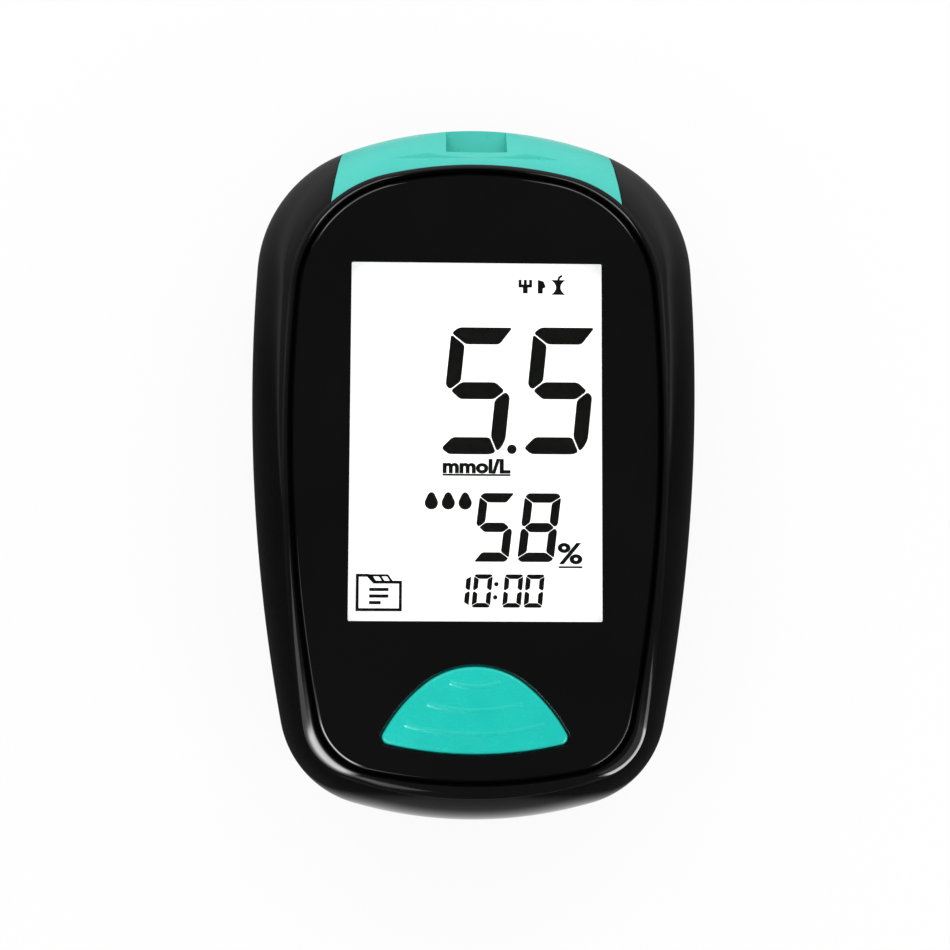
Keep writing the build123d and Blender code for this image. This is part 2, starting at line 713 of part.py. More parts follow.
# ======== face panel, window and display ========
with BuildPart() as face_panel:
    with BuildSketch(Plane.XY.offset(panel_low)):
        add(plan_face(panel_outline.inset(fit_gap)))
    extrude(amount=panel_thickness)
    fillet(face_panel.faces().sort_by(Axis.Z)[-1].edges(), radius=panel_edge_radius)
    with BuildSketch(Plane.XY.offset(panel_low)):
        with Locations((0, window_y)):
            RectangleRounded(2 * window_half_width, window_height, window_corner_radius)
        add(button_face(button_gap))
    extrude(amount=panel_thickness, mode=Mode.SUBTRACT)

with BuildPart() as display_lens:
    with BuildSketch(Plane.XY.offset(panel_low)):
        with Locations((0, window_y)):
            RectangleRounded(2 * (window_half_width - lens_gap), window_height - 2 * lens_gap,
                             window_corner_radius)
    extrude(amount=panel_thickness)

with BuildPart() as panel_tape:
    with BuildSketch(Plane.XY.offset(deck_high)):
        add(plan_face(panel_outline.inset(2 * fit_gap)))
        add(plan_face(panel_outline.inset(tape_width)), mode=Mode.SUBTRACT)
    extrude(amount=tape_thickness)

with BuildPart() as lcd_glass:
    block((-glass_half_width, glass_half_width), (glass_low_y, glass_high_y), (glass_low, glass_high))

with BuildPart() as lcd_reflector:
    block((-glass_half_width, glass_half_width), (glass_low_y, zebra_y - fit_gap), (holder_high, glass_low))

with BuildPart() as lcd_segments:
    with BuildSketch(Plane.XY.offset(glass_high)):
        for digit, (x, y), size in figures:
            corner = (window_half_width + x, window_low_y + y)
            for polygon in segment_polygons(digit, corner, **size):
                with BuildLine():
                    Polyline(*polygon, close=True)
                make_face()
        for x, y, radius in dots:
            with Locations((window_half_width + x, window_low_y + y)):
                Circle(radius)
    extrude(amount=segment_thickness)

with BuildPart() as lcd_holder:
    block((-glass_half_width - holder_wall, glass_half_width + holder_wall),
          (glass_low_y - holder_wall, glass_high_y + holder_wall / 2), (board_high, holder_high))
    block((-glass_half_width + holder_shelf, glass_half_width - holder_shelf),
          (glass_low_y + holder_shelf, zebra_y - holder_wall), (board_high, holder_high), mode=Mode.SUBTRACT)
    block((-glass_half_width + holder_wall, glass_half_width - holder_wall),
          (zebra_y - fit_gap / 2, zebra_y + zebra_width), (board_high, holder_high), mode=Mode.SUBTRACT)

with BuildPart() as zebra_connector:
    block((-glass_half_width + holder_wall + fit_gap, glass_half_width - holder_wall - fit_gap),
          (zebra_y, zebra_y + zebra_width - fit_gap), (board_high, glass_low))

# ======== button and its switch ========
with BuildPart() as main_button:
    with BuildSketch(Plane.XY.offset(collar_low)):
        add(button_face())
    extrude(amount=button_high - collar_low)
    fillet(main_button.faces().sort_by(Axis.Z)[-1].edges(), radius=button_edge_radius)
    with BuildSketch(Plane.XY.offset(collar_low)):
        add(button_face(collar_width))
    extrude(amount=collar_thickness)
    with BuildSketch(Plane.XY.offset(plunger_high)):
        with Locations((0, switch_y)):
            Circle(stem_radius)
    extrude(amount=collar_low - plunger_high)
    with BuildSketch(Plane.XY.offset(button_high)):
        for half_length, drop, sag in ridge_arcs:
            ridge_y = button_top_y - drop
            with BuildLine(mode=Mode.PRIVATE) as ridge:
                ThreePointArc((-half_length, ridge_y), (0, ridge_y - sag), (half_length, ridge_y))
            SlotArc(ridge.edge(), ridge_width)
    extrude(amount=ridge_height)

with BuildPart() as switch_plunger:
    with BuildSketch(Plane.XY.offset(plunger_low)):
        with Locations((0, switch_y)):
            Circle(plunger_radius)
    extrude(amount=plunger_high - plunger_low)

with BuildPart() as switch_body:
    with BuildSketch(Plane.XY.offset(board_high)):
        with Locations((0, switch_y)):
            Rectangle(switch_size, switch_size)
    extrude(amount=switch_high - board_high)
    with BuildSketch(Plane.XY.offset(plunger_low - button_travel - slide_gap)):
        with Locations((0, switch_y)):
            Circle(plunger_radius + plunger_gap)
    extrude(amount=switch_high, mode=Mode.SUBTRACT)

# ======== circuit board and components ========
with BuildPart() as main_board:
    with BuildSketch(Plane.XY.offset(board_height)):
        add(plan_face(board_outline))
        with Locations(*case_screw_places):
            Circle(case_boss_radius + slide_gap, mode=Mode.SUBTRACT)
        with Locations(*board_screw_places):
            Circle(board_screw_shank_radius + fit_gap, mode=Mode.SUBTRACT)
    extrude(amount=board_thickness)

with BuildPart() as microcontroller:
    with BuildSketch(Plane.XY.offset(board_high)):
        with Locations((controller_x, controller_y)):
            Rectangle(controller_size, controller_size)
    extrude(amount=controller_thickness)
    chamfer(microcontroller.faces().sort_by(Axis.Z)[-1].edges(), length=chip_chamfer)

with BuildPart() as analog_chip:
    with BuildSketch(Plane.XY.offset(board_high)):
        with Locations((analog_x, analog_y)):
            Rectangle(analog_length, analog_width)
    extrude(amount=analog_thickness)
    chamfer(analog_chip.faces().sort_by(Axis.Z)[-1].edges(), length=chip_chamfer)

with BuildPart() as crystal:
    with BuildSketch(Plane.YZ.offset(crystal_x)):
        with Locations((crystal_y, board_high + crystal_diameter / 2)):
            Circle(crystal_diameter / 2)
    extrude(amount=crystal_length)

with BuildPart() as buzzer:
    with BuildSketch(Plane.XY.offset(board_high)):
        with Locations((buzzer_x, buzzer_y)):
            Circle(buzzer_diameter / 2)
    extrude(amount=buzzer_thickness)
    with BuildSketch(Plane.XY.offset(board_high + buzzer_thickness / 2)):
        with Locations((buzzer_x, buzzer_y)):
            Circle(buzzer_port_radius)
    extrude(amount=buzzer_thickness, mode=Mode.SUBTRACT)

# ======== strip connector ========
contact_places = [contact_pitch * (index - (contact_count - 1) / 2) for index in range(contact_count)]
contact_end_y = connector_start_y + contact_tail + contact_length

with BuildPart() as strip_connector:
    block((-slot_half_width - connector_wall, slot_half_width + connector_wall),
          (connector_start_y, connector_end_y), (board_high, connector_top_height))
    block((-slot_half_width, slot_half_width), (connector_start_y + contact_tail, far),
          (strip_floor_height, slot_high), mode=Mode.SUBTRACT)
    for x in contact_places:
        block((x - contact_width / 2 - contact_gap, x + contact_width / 2 + contact_gap),
              (0, connector_start_y + contact_tail + 2 * contact_thickness), (0, slot_high), mode=Mode.SUBTRACT)

with BuildPart() as connector_contacts:
    for x in contact_places:
        across = (x - contact_width / 2, x + contact_width / 2)
        riser_y = connector_start_y + contact_tail
        block(across, (connector_start_y - contact_tail / 2, riser_y + contact_thickness),
              (board_high, board_high + contact_thickness))
        block(across, (riser_y, riser_y + contact_thickness), (board_high, strip_floor_height + contact_thickness))
        block(across, (riser_y, contact_end_y), (strip_floor_height, strip_floor_height + contact_thickness))

# ======== cells and their contacts ========
left_x, right_x = -cell_pitch / 2, cell_pitch / 2
contact_low_y = bay_start_y + plate_thickness
contact_high_y = bay_end_y - plate_thickness


with BuildPart() as battery_left:
    add(cell(left_x, contact_low_y + spring_length + end_play, nub_up=True))

with BuildPart() as battery_right:
    add(cell(right_x, contact_low_y + end_play, nub_up=False))

with BuildPart() as contact_bridge:
    block((left_x - plate_height / 2, right_x + plate_height / 2), (bay_start_y, contact_low_y),
          (cell_height - plate_height / 2, cell_height + plate_height / 2))

with BuildPart() as contact_plates:
    for x in (left_x, right_x):
        block((x - plate_height / 2, x + plate_height / 2), (contact_high_y, bay_end_y),
              (cell_height - plate_height / 2, cell_height + plate_height / 2))
        block((x - plate_tail_width / 2, x + plate_tail_width / 2), (contact_high_y, bay_end_y),
              (cell_height, board_height))


with BuildPart() as battery_springs:
    add(spring(left_x, contact_low_y))
    add(spring(right_x, contact_high_y - spring_length))

# ======== screws ========
with BuildPart() as case_screws:
    add(screws(case_screw_places, case_screw_depth, case_screw_head_radius, case_screw_head_height,
               case_screw_shank_radius, case_screw_length))

with BuildPart() as board_screws:
    add(screws(board_screw_places, board_height - board_screw_head_height, board_screw_head_radius,
               board_screw_head_height, board_screw_shank_radius, board_screw_length))

# ======== one labelled STEP file per piece ========
pieces = {
    "front_housing": front_housing, "rear_housing": rear_housing, "port_cap": port_cap,
    "face_panel": face_panel, "panel_tape": panel_tape, "display_lens": display_lens,
    "lcd_glass": lcd_glass, "lcd_reflector": lcd_reflector, "lcd_segments": lcd_segments,
    "lcd_holder": lcd_holder, "zebra_connector": zebra_connector,
    "main_button": main_button, "switch_plunger": switch_plunger, "switch_body": switch_body,
    "main_board": main_board, "microcontroller": microcontroller, "analog_chip": analog_chip,
    "crystal": crystal, "buzzer": buzzer,
    "strip_connector": strip_connector, "connector_contacts": connector_contacts,
    "battery_left": battery_left, "battery_right": battery_right, "battery_springs": battery_springs,
    "contact_bridge": contact_bridge, "contact_plates": contact_plates,
    "battery_door": battery_door, "rear_label": rear_label,
    "case_screws": case_screws, "board_screws": board_screws,
}
os.makedirs("parts", exist_ok=True)
for name, piece in pieces.items():
    piece.part.label = name
    export_step(piece.part, f"parts/{name}.step")
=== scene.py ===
"""Blood glucose meter: visible surfaces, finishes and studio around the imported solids.

Sizes are in millimetres in the meter's own frame, and a mesh is turned into metres when it is made.
The meter lies on its back: +Z comes out of the display, +Y points to the strip port, +X to the right.
"""
from __future__ import annotations

import logging
import math
from dataclasses import astuple, dataclass, field
from enum import Enum

import bmesh
import bpy
import numpy as np
from mathutils import Matrix, Vector
from mathutils.geometry import delaunay_2d_cdt

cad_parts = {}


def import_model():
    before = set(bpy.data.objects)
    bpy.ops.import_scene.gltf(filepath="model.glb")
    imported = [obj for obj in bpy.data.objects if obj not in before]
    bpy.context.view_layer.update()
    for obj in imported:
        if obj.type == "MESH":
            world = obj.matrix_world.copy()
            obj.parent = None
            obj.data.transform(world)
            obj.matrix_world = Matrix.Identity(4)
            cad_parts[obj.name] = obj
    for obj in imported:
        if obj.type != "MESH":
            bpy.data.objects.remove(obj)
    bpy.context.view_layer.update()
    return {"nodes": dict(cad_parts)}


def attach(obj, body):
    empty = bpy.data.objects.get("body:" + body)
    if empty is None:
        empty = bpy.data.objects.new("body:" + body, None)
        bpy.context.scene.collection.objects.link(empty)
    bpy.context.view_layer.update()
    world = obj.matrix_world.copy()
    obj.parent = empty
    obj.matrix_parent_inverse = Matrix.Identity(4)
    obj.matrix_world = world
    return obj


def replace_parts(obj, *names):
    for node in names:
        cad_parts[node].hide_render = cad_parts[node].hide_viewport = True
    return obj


LOG = logging.getLogger("glucose_meter")
Array = np.ndarray
Socket = bpy.types.NodeSocket
Colour = tuple[int, int, int]
MM = 0.001
MERGE = 0.0015  # mm, points closer than this become one
LEVEL = 0.9999  # a face whose normal has more height than this lies level
NO_FACES = np.zeros((0, 3), int)
DRIFT_SPAN = (0.35, 0.65)  # where most of a cloudy value lies
SMUDGE_SPAN = (0.3, 0.7)
SMUDGE_SEED, GRAIN_SEED, PIT_SEED = 4.0, 9.0, 2.0
SOFT = "SMOOTHSTEP"  # a range with soft ends
BEVEL_STEPS = 3


class Body(Enum):
    """The bodies that the pieces made here ride on."""

    METER = "meter"
    BUTTON = "button"


class Part(Enum):
    """Which stretch of the port cap a column of its surface runs down."""

    SHOULDER = 0
    NOTCH = 1
    SLOT = 2


# ---------------------------------------------------------------- finishes


def linear(colour: Colour) -> tuple[float, float, float, float]:
    """Linear colour of a colour that is written as it shows, by the usual curve of screens.

    Args:
        colour: red, green and blue from 0 to 255.

    Returns:
        Red, green, blue and full opacity from 0 to 1.
    """
    share = np.array(colour, float) / 255.0
    plain = np.where(share <= 0.04045, share / 12.92, ((share + 0.055) / 1.055) ** 2.4)
    return (*plain.tolist(), 1.0)


class Layout:
    """Lays out the nodes of one shader tree."""

    def __init__(self, tree: bpy.types.NodeTree) -> None:
        """Start with an empty tree."""
        self.tree = tree
        tree.nodes.clear()

    def add(self, kind: str, **settings: object) -> bpy.types.Node:
        """Add a node and set its options.

        Args:
            kind: the node's type.
            settings: its options by name.

        Returns:
            The node.
        """
        node = self.tree.nodes.new(kind)
        for name, value in settings.items():
            setattr(node, name, value)
        return node

    def link(self, source: Socket, target: Socket) -> None:
        """Join an output to an input."""
        self.tree.links.new(source, target)

    def ramp(self, value: Socket, start: tuple[float, float], end: tuple[float, float],
             kind: str = "LINEAR") -> Socket:
        """Turn one range of a value into another.

        Args:
            value: socket that gives the value.
            start: lowest and highest value taken.
            end: what those two become.
            kind: how it goes from one to the other, straight or with soft ends.

        Returns:
            The new value's socket.
        """
        node = self.add("ShaderNodeMapRange", interpolation_type=kind)
        for name, number in zip(("From Min", "From Max", "To Min", "To Max"), (*start, *end)):
            node.inputs[name].default_value = number
        self.link(value, node.inputs["Value"])
        return node.outputs["Result"]

    def math(self, operation: str, first: Socket, second: Socket | float = 0.0) -> Socket:
        """Work out a value from one or two others.

        Args:
            operation: what is done with them.
            first: socket of the first.
            second: socket of the second, or a number.

        Returns:
            The new value's socket.
        """
        node = self.add("ShaderNodeMath", operation=operation)
        self.link(first, node.inputs[0])
        if isinstance(second, (int, float)):
            node.inputs[1].default_value = second
        else:
            self.link(second, node.inputs[1])
        return node.outputs[0]


class Bench(Layout):
    """Lays out the shader nodes of one material."""

    def __init__(self, name: str) -> None:
        """Start a material that holds a surface shader and the piece's own coordinates.

        Args:
            name: name of the material.
        """
        self.material = bpy.data.materials.new(name)
        self.material.use_nodes = True
        super().__init__(self.material.node_tree)
        self.shader = self.add("ShaderNodeBsdfPrincipled")
        self.output = self.add("ShaderNodeOutputMaterial")
        self.link(self.shader.outputs["BSDF"], self.output.inputs["Surface"])
        self.place = self.add("ShaderNodeTexCoord").outputs["Object"]

    def noise(self, size: float, detail: float = 3.0, seed: float = 0.0) -> Socket:
        """Cloudy value whose blots are about one size across.

        Args:
            size: width of a blot in millimetres.
            detail: how many finer layers lie on it.
            seed: another number gives another pattern.

        Returns:
            The value's socket.
        """
        node = self.add("ShaderNodeTexNoise", noise_dimensions="4D")
        node.inputs["W"].default_value = seed
        node.inputs["Scale"].default_value = 1.0 / (size * MM)
        node.inputs["Detail"].default_value = detail
        self.link(self.place, node.inputs["Vector"])
        return node.outputs["Fac"]

    def blend(self, share: Socket, first: Socket | Colour, second: Socket | Colour) -> Socket:
        """Mix two colours.

        Args:
            share: socket of the share that the second one has.
            first: a written colour or a socket.
            second: another one.

        Returns:
            The mixed colour's socket.
        """
        node = self.add("ShaderNodeMix", data_type="RGBA")
        self.link(share, node.inputs[0])
        for socket, colour in ((node.inputs[6], first), (node.inputs[7], second)):
            if isinstance(colour, tuple):
                socket.default_value = linear(colour)
            else:
                self.link(colour, socket)
        return node.outputs[2]

    def axis(self, name: str) -> Socket:
        """One of the piece's own coordinates, in metres.

        Args:
            name: X, Y or Z.

        Returns:
            The coordinate's socket.
        """
        node = self.add("ShaderNodeSeparateXYZ")
        self.link(self.place, node.inputs[0])
        return node.outputs[name]

    def relief(self, height: Socket, distance: float) -> None:
        """Raise the surface by a value, over the relief that is there.

        Args:
            height: the value's socket.
            distance: millimetres that a value of 1 stands for.
        """
        node = self.add("ShaderNodeBump")
        node.inputs["Distance"].default_value = distance * MM
        self.link(height, node.inputs["Height"])
        before = self.shader.inputs["Normal"]
        if before.is_linked:
            self.link(before.links[0].from_socket, node.inputs["Normal"])
        self.link(node.outputs["Normal"], before)

    def paint_over(self, share: Socket, colour: Colour) -> None:
        """Lay another colour over the one that is there, by a share."""
        target = self.shader.inputs["Base Color"]
        self.link(self.blend(share, target.links[0].from_socket, colour), target)


@dataclass(frozen=True)
class Finish:
    """A moulded, printed or metal surface, with the fine unevenness of its colour, gloss and relief."""

    name: str
    colour: Colour
    drift_colour: Colour
    roughness: float = 0.1
    roughness_drift: float = 0.02
    drift_size: float = 9.0
    grain_size: float = 2.5
    grain_height: float = 0.002
    metallic: float = 0.0
    specular: float = 0.5
    alpha: float = 1.0
    glow: float = 0.0

    def material(self) -> bpy.types.Material:
        """The finish as a material, made once."""
        return bpy.data.materials.get(self.name) or self.build()

    def build(self) -> bpy.types.Material:
        """Lay out the material: drifting colour and gloss, and a fine relief.

        Returns:
            The new material.
        """
        bench = Bench(self.name)
        inputs = bench.shader.inputs
        inputs["Metallic"].default_value = self.metallic
        inputs["Specular IOR Level"].default_value = self.specular
        inputs["Alpha"].default_value = self.alpha
        # A glow is painted light: the surface shines by itself, though it is no lamp.
        if self.glow:
            inputs["Emission Color"].default_value = linear(self.colour)
            inputs["Emission Strength"].default_value = self.glow
        drift = bench.ramp(bench.noise(self.drift_size), DRIFT_SPAN, (0, 1))
        bench.link(bench.blend(drift, self.colour, self.drift_colour), inputs["Base Color"])
        smudge = bench.noise(self.drift_size / 3, 5.0, SMUDGE_SEED)
        ends = (self.roughness - self.roughness_drift, self.roughness + self.roughness_drift)
        bench.link(bench.ramp(smudge, SMUDGE_SPAN, ends), inputs["Roughness"])
        bench.relief(bench.noise(self.grain_size, 2.0, GRAIN_SEED), self.grain_height)
        self.dress(bench)
        return bench.material

    def dress(self, bench: Bench) -> None:
        """Add what only this kind of finish has. A plain one has nothing more."""


@dataclass(frozen=True)
class GrainedBack(Finish):
    """Glossy sides that turn into spark-eroded grain on the back."""

    grain_low: float = 1.2  # the grain is full below this height
    grain_top: float = 3.2  # and gone above this one
    grain_depth: float = 0.03
    pit_size: float = 0.35
    matt: float = 0.32  # roughness that the grain adds

    def dress(self, bench: Bench) -> None:
        """Roughen and pit the surface below one height.

        Args:
            bench: the material's nodes.
        """
        low = bench.ramp(bench.axis("Z"), (self.grain_low * MM, self.grain_top * MM), (1, 0))
        target = bench.shader.inputs["Roughness"]
        matt = bench.math("MULTIPLY", low, self.matt)
        bench.link(bench.math("ADD", target.links[0].from_socket, matt), target)
        pits = bench.noise(self.pit_size, 1.0, PIT_SEED)
        bench.relief(bench.math("MULTIPLY", low, pits), self.grain_depth)


@dataclass(frozen=True)
class Jacket(Finish):
    """Shrink-wrapped jacket of a cell, with a band at its positive end and bare metal at both ends."""

    low_y: float = -39.0
    high_y: float = 4.8
    band: Colour = (196, 158, 74)
    band_from: float = 0.73  # share of the length
    band_at_top: bool = True
    steel: Colour = (200, 200, 204)
    steel_from: float = 0.493  # share of the length, from the middle

    def dress(self, bench: Bench) -> None:
        """Paint the band and bare the ends.

        Args:
            bench: the material's nodes.
        """
        ends = (0, 1) if self.band_at_top else (1, 0)
        along = bench.ramp(bench.axis("Y"), (self.low_y * MM, self.high_y * MM), ends)
        bench.paint_over(bench.math("GREATER_THAN", along, self.band_from), self.band)
        middle = bench.math("ABSOLUTE", bench.math("SUBTRACT", along, 0.5))
        bare = bench.math("GREATER_THAN", middle, self.steel_from)
        bench.paint_over(bare, self.steel)
        bench.link(bare, bench.shader.inputs["Metallic"])


@dataclass(frozen=True)
class BorderedLabel(Finish):
    """Blank printed label with a thin dark frame line."""

    middle_y: float = 29.0
    half: tuple[float, float] = (14.6, 8.6)
    line: float = 0.25
    line_colour: Colour = (58, 58, 60)

    def dress(self, bench: Bench) -> None:
        """Draw the frame line: a narrow band of the distance to a rectangle.

        Args:
            bench: the material's nodes.
        """
        across = bench.math("SUBTRACT", bench.math("ABSOLUTE", bench.axis("X")), self.half[0] * MM)
        height = bench.math("ABSOLUTE", bench.math("SUBTRACT", bench.axis("Y"), self.middle_y * MM))
        outside = bench.math("MAXIMUM", across, bench.math("SUBTRACT", height, self.half[1] * MM))
        on_line = bench.math("LESS_THAN", bench.math("ABSOLUTE", outside), self.line / 2 * MM)
        bench.paint_over(on_line, self.line_colour)


@dataclass(frozen=True)
class BoardMask(Finish):
    """Green solder mask with the copper tracks showing through as lighter lines."""

    track_pitch: float = 3.0
    track_width: float = 0.03  # share of the pitch
    track_height: float = 0.02
    track_colour: Colour = (70, 150, 84)

    def dress(self, bench: Bench) -> None:
        """Draw the tracks as the joints of a brick pattern.

        Args:
            bench: the material's nodes.
        """
        bricks = bench.add("ShaderNodeTexBrick")
        bricks.inputs["Scale"].default_value = 1 / (self.track_pitch * MM)
        bricks.inputs["Mortar Size"].default_value = self.track_width
        bench.link(bench.place, bricks.inputs["Vector"])
        bench.paint_over(bricks.outputs["Fac"], self.track_colour)
        bench.relief(bricks.outputs["Fac"], self.track_height)


BLACK_GLOSS = Finish("black_gloss_abs", (10, 10, 11), (14, 14, 15), 0.07, 0.02, 14.0, 4.0, 0.004)
PANEL_BLACK = Finish("black_printed_panel", (8, 8, 9), (11, 11, 12), 0.045, 0.015, 18.0, 7.0, 0.003)
REAR_BLACK = GrainedBack("black_rear_abs", (11, 11, 12), (15, 15, 16), 0.11, 0.03, 14.0, 4.0, 0.004)
# The cap's turquoise is paler than the button's: a painted sheen for the light its slopes reflect.
TURQUOISE_PAINTED_SHEEN = Finish("turquoise_abs_painted_sheen", (78, 210, 196), (71, 206, 192), 0.3, 0.04, 8.0, 1.4, 0.004)
TURQUOISE_BUTTON = Finish("turquoise_button_abs", (16, 204, 190), (10, 198, 184), 0.27, 0.03, 6.0, 1.0,
                          0.004)
WINDOW = Finish("clear_window", (40, 42, 42), (36, 38, 38), 0.02, 0.01, 20.0, 9.0, 0.001, alpha=0.03)
# The cell glass glows: painted light that lifts it to white and washes out the shade of the window's
# recess.
LCD_WHITE_PAINTED_GLOW = Finish("pale_cell_glass_painted_glow", (250, 251, 250), (246, 248, 247), 0.3, 0.05, 11.0, 0.6, 0.001,
                   glow=0.7)
SEGMENT = Finish("dark_segment", (12, 12, 11), (17, 17, 15), 0.6, 0.05, 1.2, 0.2, 0.001, specular=0.05)
TAPE = Finish("black_foam_tape", (20, 20, 20), (30, 30, 30), 0.9, 0.05, 1.0, 0.25, 0.03)
REFLECTOR = Finish("white_reflector", (236, 238, 236), (226, 229, 227), 0.5, 0.08, 3.0, 0.5, 0.002)
FRAME_WHITE = Finish("white_frame_abs", (226, 227, 222), (216, 218, 212), 0.45, 0.06, 4.0, 0.4, 0.006)
RUBBER_GREY = Finish("grey_elastomer", (92, 94, 98), (70, 72, 76), 0.8, 0.06, 0.7, 0.2, 0.01)
SWITCH_BLACK = Finish("black_switch", (26, 26, 27), (36, 36, 37), 0.5, 0.06, 2.0, 0.25, 0.008)
BOARD_GREEN = BoardMask("green_board", (18, 84, 44), (14, 72, 38), 0.35, 0.06, 3.0, 0.5, 0.004)
CHIP_BLACK = Finish("black_epoxy", (30, 30, 32), (40, 40, 42), 0.6, 0.06, 0.8, 0.12, 0.012)
STEEL = Finish("steel_can", (206, 206, 204), (186, 187, 188), 0.25, 0.08, 1.6, 0.3, 0.002, metallic=1.0)
SPRING_STEEL = Finish("spring_steel", (214, 212, 206), (190, 190, 188), 0.22, 0.08, 1.0, 0.2, 0.002,
                      metallic=1.0)
IVORY = Finish("ivory_connector", (222, 214, 190), (212, 204, 180), 0.45, 0.06, 2.0, 0.3, 0.006)
GOLD = Finish("contact_gold", (226, 184, 96), (206, 166, 84), 0.25, 0.06, 0.8, 0.2, 0.001, metallic=1.0)
SCREW_STEEL = Finish("zinc_screw", (196, 198, 202), (168, 170, 176), 0.3, 0.1, 0.9, 0.15, 0.004,
                     metallic=1.0)
LABEL = BorderedLabel("silver_blank_label", (186, 188, 190), (180, 182, 184), 0.42, 0.05, 6.0, 0.2,
                      0.003)
CELL_LEFT = Jacket("cell_jacket_left", (58, 74, 96), (52, 68, 90), 0.24, 0.05, 5.0, 0.6, 0.004)
CELL_RIGHT = Jacket("cell_jacket_right", (58, 74, 96), (52, 68, 90), 0.24, 0.05, 5.0, 0.6, 0.004,
                    low_y=-42.1, high_y=1.7, band_at_top=False)


# ---------------------------------------------------------------- surfaces


def placed(name: str, data: bpy.types.ID) -> bpy.types.Object:
    """Put a mesh, a curve, a lamp or a camera into the scene.

    Args:
        name: name of its object.
        data: what the object holds.

    Returns:
        The object.
    """
    holder = bpy.data.objects.new(name, data)
    bpy.context.scene.collection.objects.link(holder)
    return holder


def grid_faces(rows: int, columns: int, wrap_rows: bool = False, wrap_columns: bool = False) -> Array:
    """Corner numbers of the cells of a grid whose points are numbered row by row.

    Args:
        rows: how many rows of points there are.
        columns: how many points a row has.
        wrap_rows: whether the last row joins the first.
        wrap_columns: whether the last point of a row joins the first.

    Returns:
        One row of four point numbers per cell.
    """
    row = np.arange(rows if wrap_rows else rows - 1)[:, None]
    column = np.arange(columns if wrap_columns else columns - 1)[None, :]
    below, right = (row + 1) % rows, (column + 1) % columns
    row, below = row * columns, below * columns
    corners = np.broadcast_arrays(row + column, row + right, below + right, below + column)
    return np.stack(corners, axis=-1).reshape(-1, 4)


def raised(plan: Array, height: float | Array) -> Array:
    """Plan points with a height as their third coordinate."""
    heights = np.broadcast_to(np.asarray(height, float)[..., None], (*plan.shape[:-1], 1))
    return np.concatenate([plan, heights], axis=-1)


def spread(points: Array, count: int, bend: float = 9.0) -> Array:
    """Points walked along a line, closer together where it bends.

    The measure along the line is its length plus a share of the angle that it turns through, and the
    new points lie at even steps of that measure.

    Args:
        points: the line, a row per point.
        count: how many points come out.
        bend: length in millimetres that one radian of turning counts for.

    Returns:
        The new points, ends included.
    """
    steps = np.diff(points, axis=0)
    heading = np.unwrap(np.arctan2(steps[:, 1], steps[:, 0]))
    turning = np.abs(np.diff(heading, prepend=heading[0]))
    measure = np.concatenate([[0.0], np.cumsum(np.hypot(steps[:, 0], steps[:, 1]) + bend * turning)])
    places = np.linspace(0.0, measure[-1], count)
    return np.stack([np.interp(places, measure, column) for column in points.T], axis=1)


def mirrored(half: Array) -> Array:
    """A closed loop from its right half, which runs from the top centre to the bottom centre."""
    return np.concatenate([half, half[-2:0:-1] * [-1, 1]])


def arc(centre: Array, radius: float, start: float, stop: float, count: int = 90) -> Array:
    """Points along an arc, with its angles in radians."""
    turn = np.linspace(start, stop, count)
    return centre + radius * np.stack([np.cos(turn), np.sin(turn)], axis=1)


def chain(circles: tuple[tuple[Array, float], ...], turns: list[float]) -> Array:
    """Arcs joined end to end.

    Args:
        circles: centre and radius of each arc.
        turns: the angles where one arc goes over into the next, with the first and the last end.

    Returns:
        The points in order.
    """
    arcs = [arc(*circle, *ends) for circle, ends in zip(circles, zip(turns, turns[1:]))]
    return np.concatenate([arcs[0], *(part[1:] for part in arcs[1:])])


def bearing(centre: Array, point: Array) -> float:
    """Direction from a centre to a point, in radians."""
    return math.atan2(point[1] - centre[1], point[0] - centre[0])


def meet(first: Array, first_distance: float, second: Array, second_distance: float,
         toward: Array) -> Array:
    """Where two circles meet.

    Args:
        first: centre of one circle.
        first_distance: its radius.
        second: centre of the other.
        second_distance: its radius.
        toward: direction that picks one of the two crossings.

    Returns:
        The crossing that lies further in that direction.
    """
    between = second - first
    span = float(np.hypot(*between))
    along = (first_distance**2 - second_distance**2 + span**2) / (2 * span)
    off = math.sqrt(first_distance**2 - along**2)
    unit = between / span
    side = np.array([-unit[1], unit[0]])
    base = first + along * unit
    return max((base + off * side, base - off * side), key=lambda point: float(point @ toward))


@dataclass(frozen=True)
class Outline:
    """Rounded plan shape, mirrored about X = 0: top arc, shoulders, sides, corners, bottom arc."""

    half_width: float
    widest_y: float
    top_y: float
    bottom_y: float
    top_radius: float
    bottom_radius: float
    side_radius: float
    shoulder_radius: float
    corner_radius: float

    def inset(self, distance: float) -> Outline:
        """The outline moved inwards everywhere by one distance."""
        return Outline(self.half_width - distance, self.widest_y, self.top_y - distance,
                       self.bottom_y + distance, *(radius - distance for radius in astuple(self)[4:]))

    def toward(self, other: Outline, share: float) -> Outline:
        """A shape between this outline and another one."""
        pairs = zip(astuple(self), astuple(other))
        return Outline(*(mine + share * (theirs - mine) for mine, theirs in pairs))

    def half(self) -> Array:
        """Right half of the outline: five tangent arcs.

        Returns:
            Its points, from the top centre round to the bottom centre.
        """
        top = np.array([0.0, self.top_y - self.top_radius])
        side = np.array([self.half_width - self.side_radius, self.widest_y])
        bottom = np.array([0.0, self.bottom_y + self.bottom_radius])
        shoulder = meet(top, self.top_radius - self.shoulder_radius, side,
                        self.side_radius - self.shoulder_radius, np.array([0.0, 1.0]))
        corner = meet(side, self.side_radius - self.corner_radius, bottom,
                      self.bottom_radius - self.corner_radius, np.array([0.0, -1.0]))
        circles = ((top, self.top_radius), (shoulder, self.shoulder_radius), (side, self.side_radius),
                   (corner, self.corner_radius), (bottom, self.bottom_radius))
        return chain(circles, [math.pi / 2, bearing(top, shoulder), bearing(side, shoulder),
                               bearing(side, corner), bearing(bottom, corner), -math.pi / 2])

    def loop(self, count: int = 150) -> Array:
        """The whole outline, clockwise from its top centre."""
        return mirrored(spread(self.half(), count))


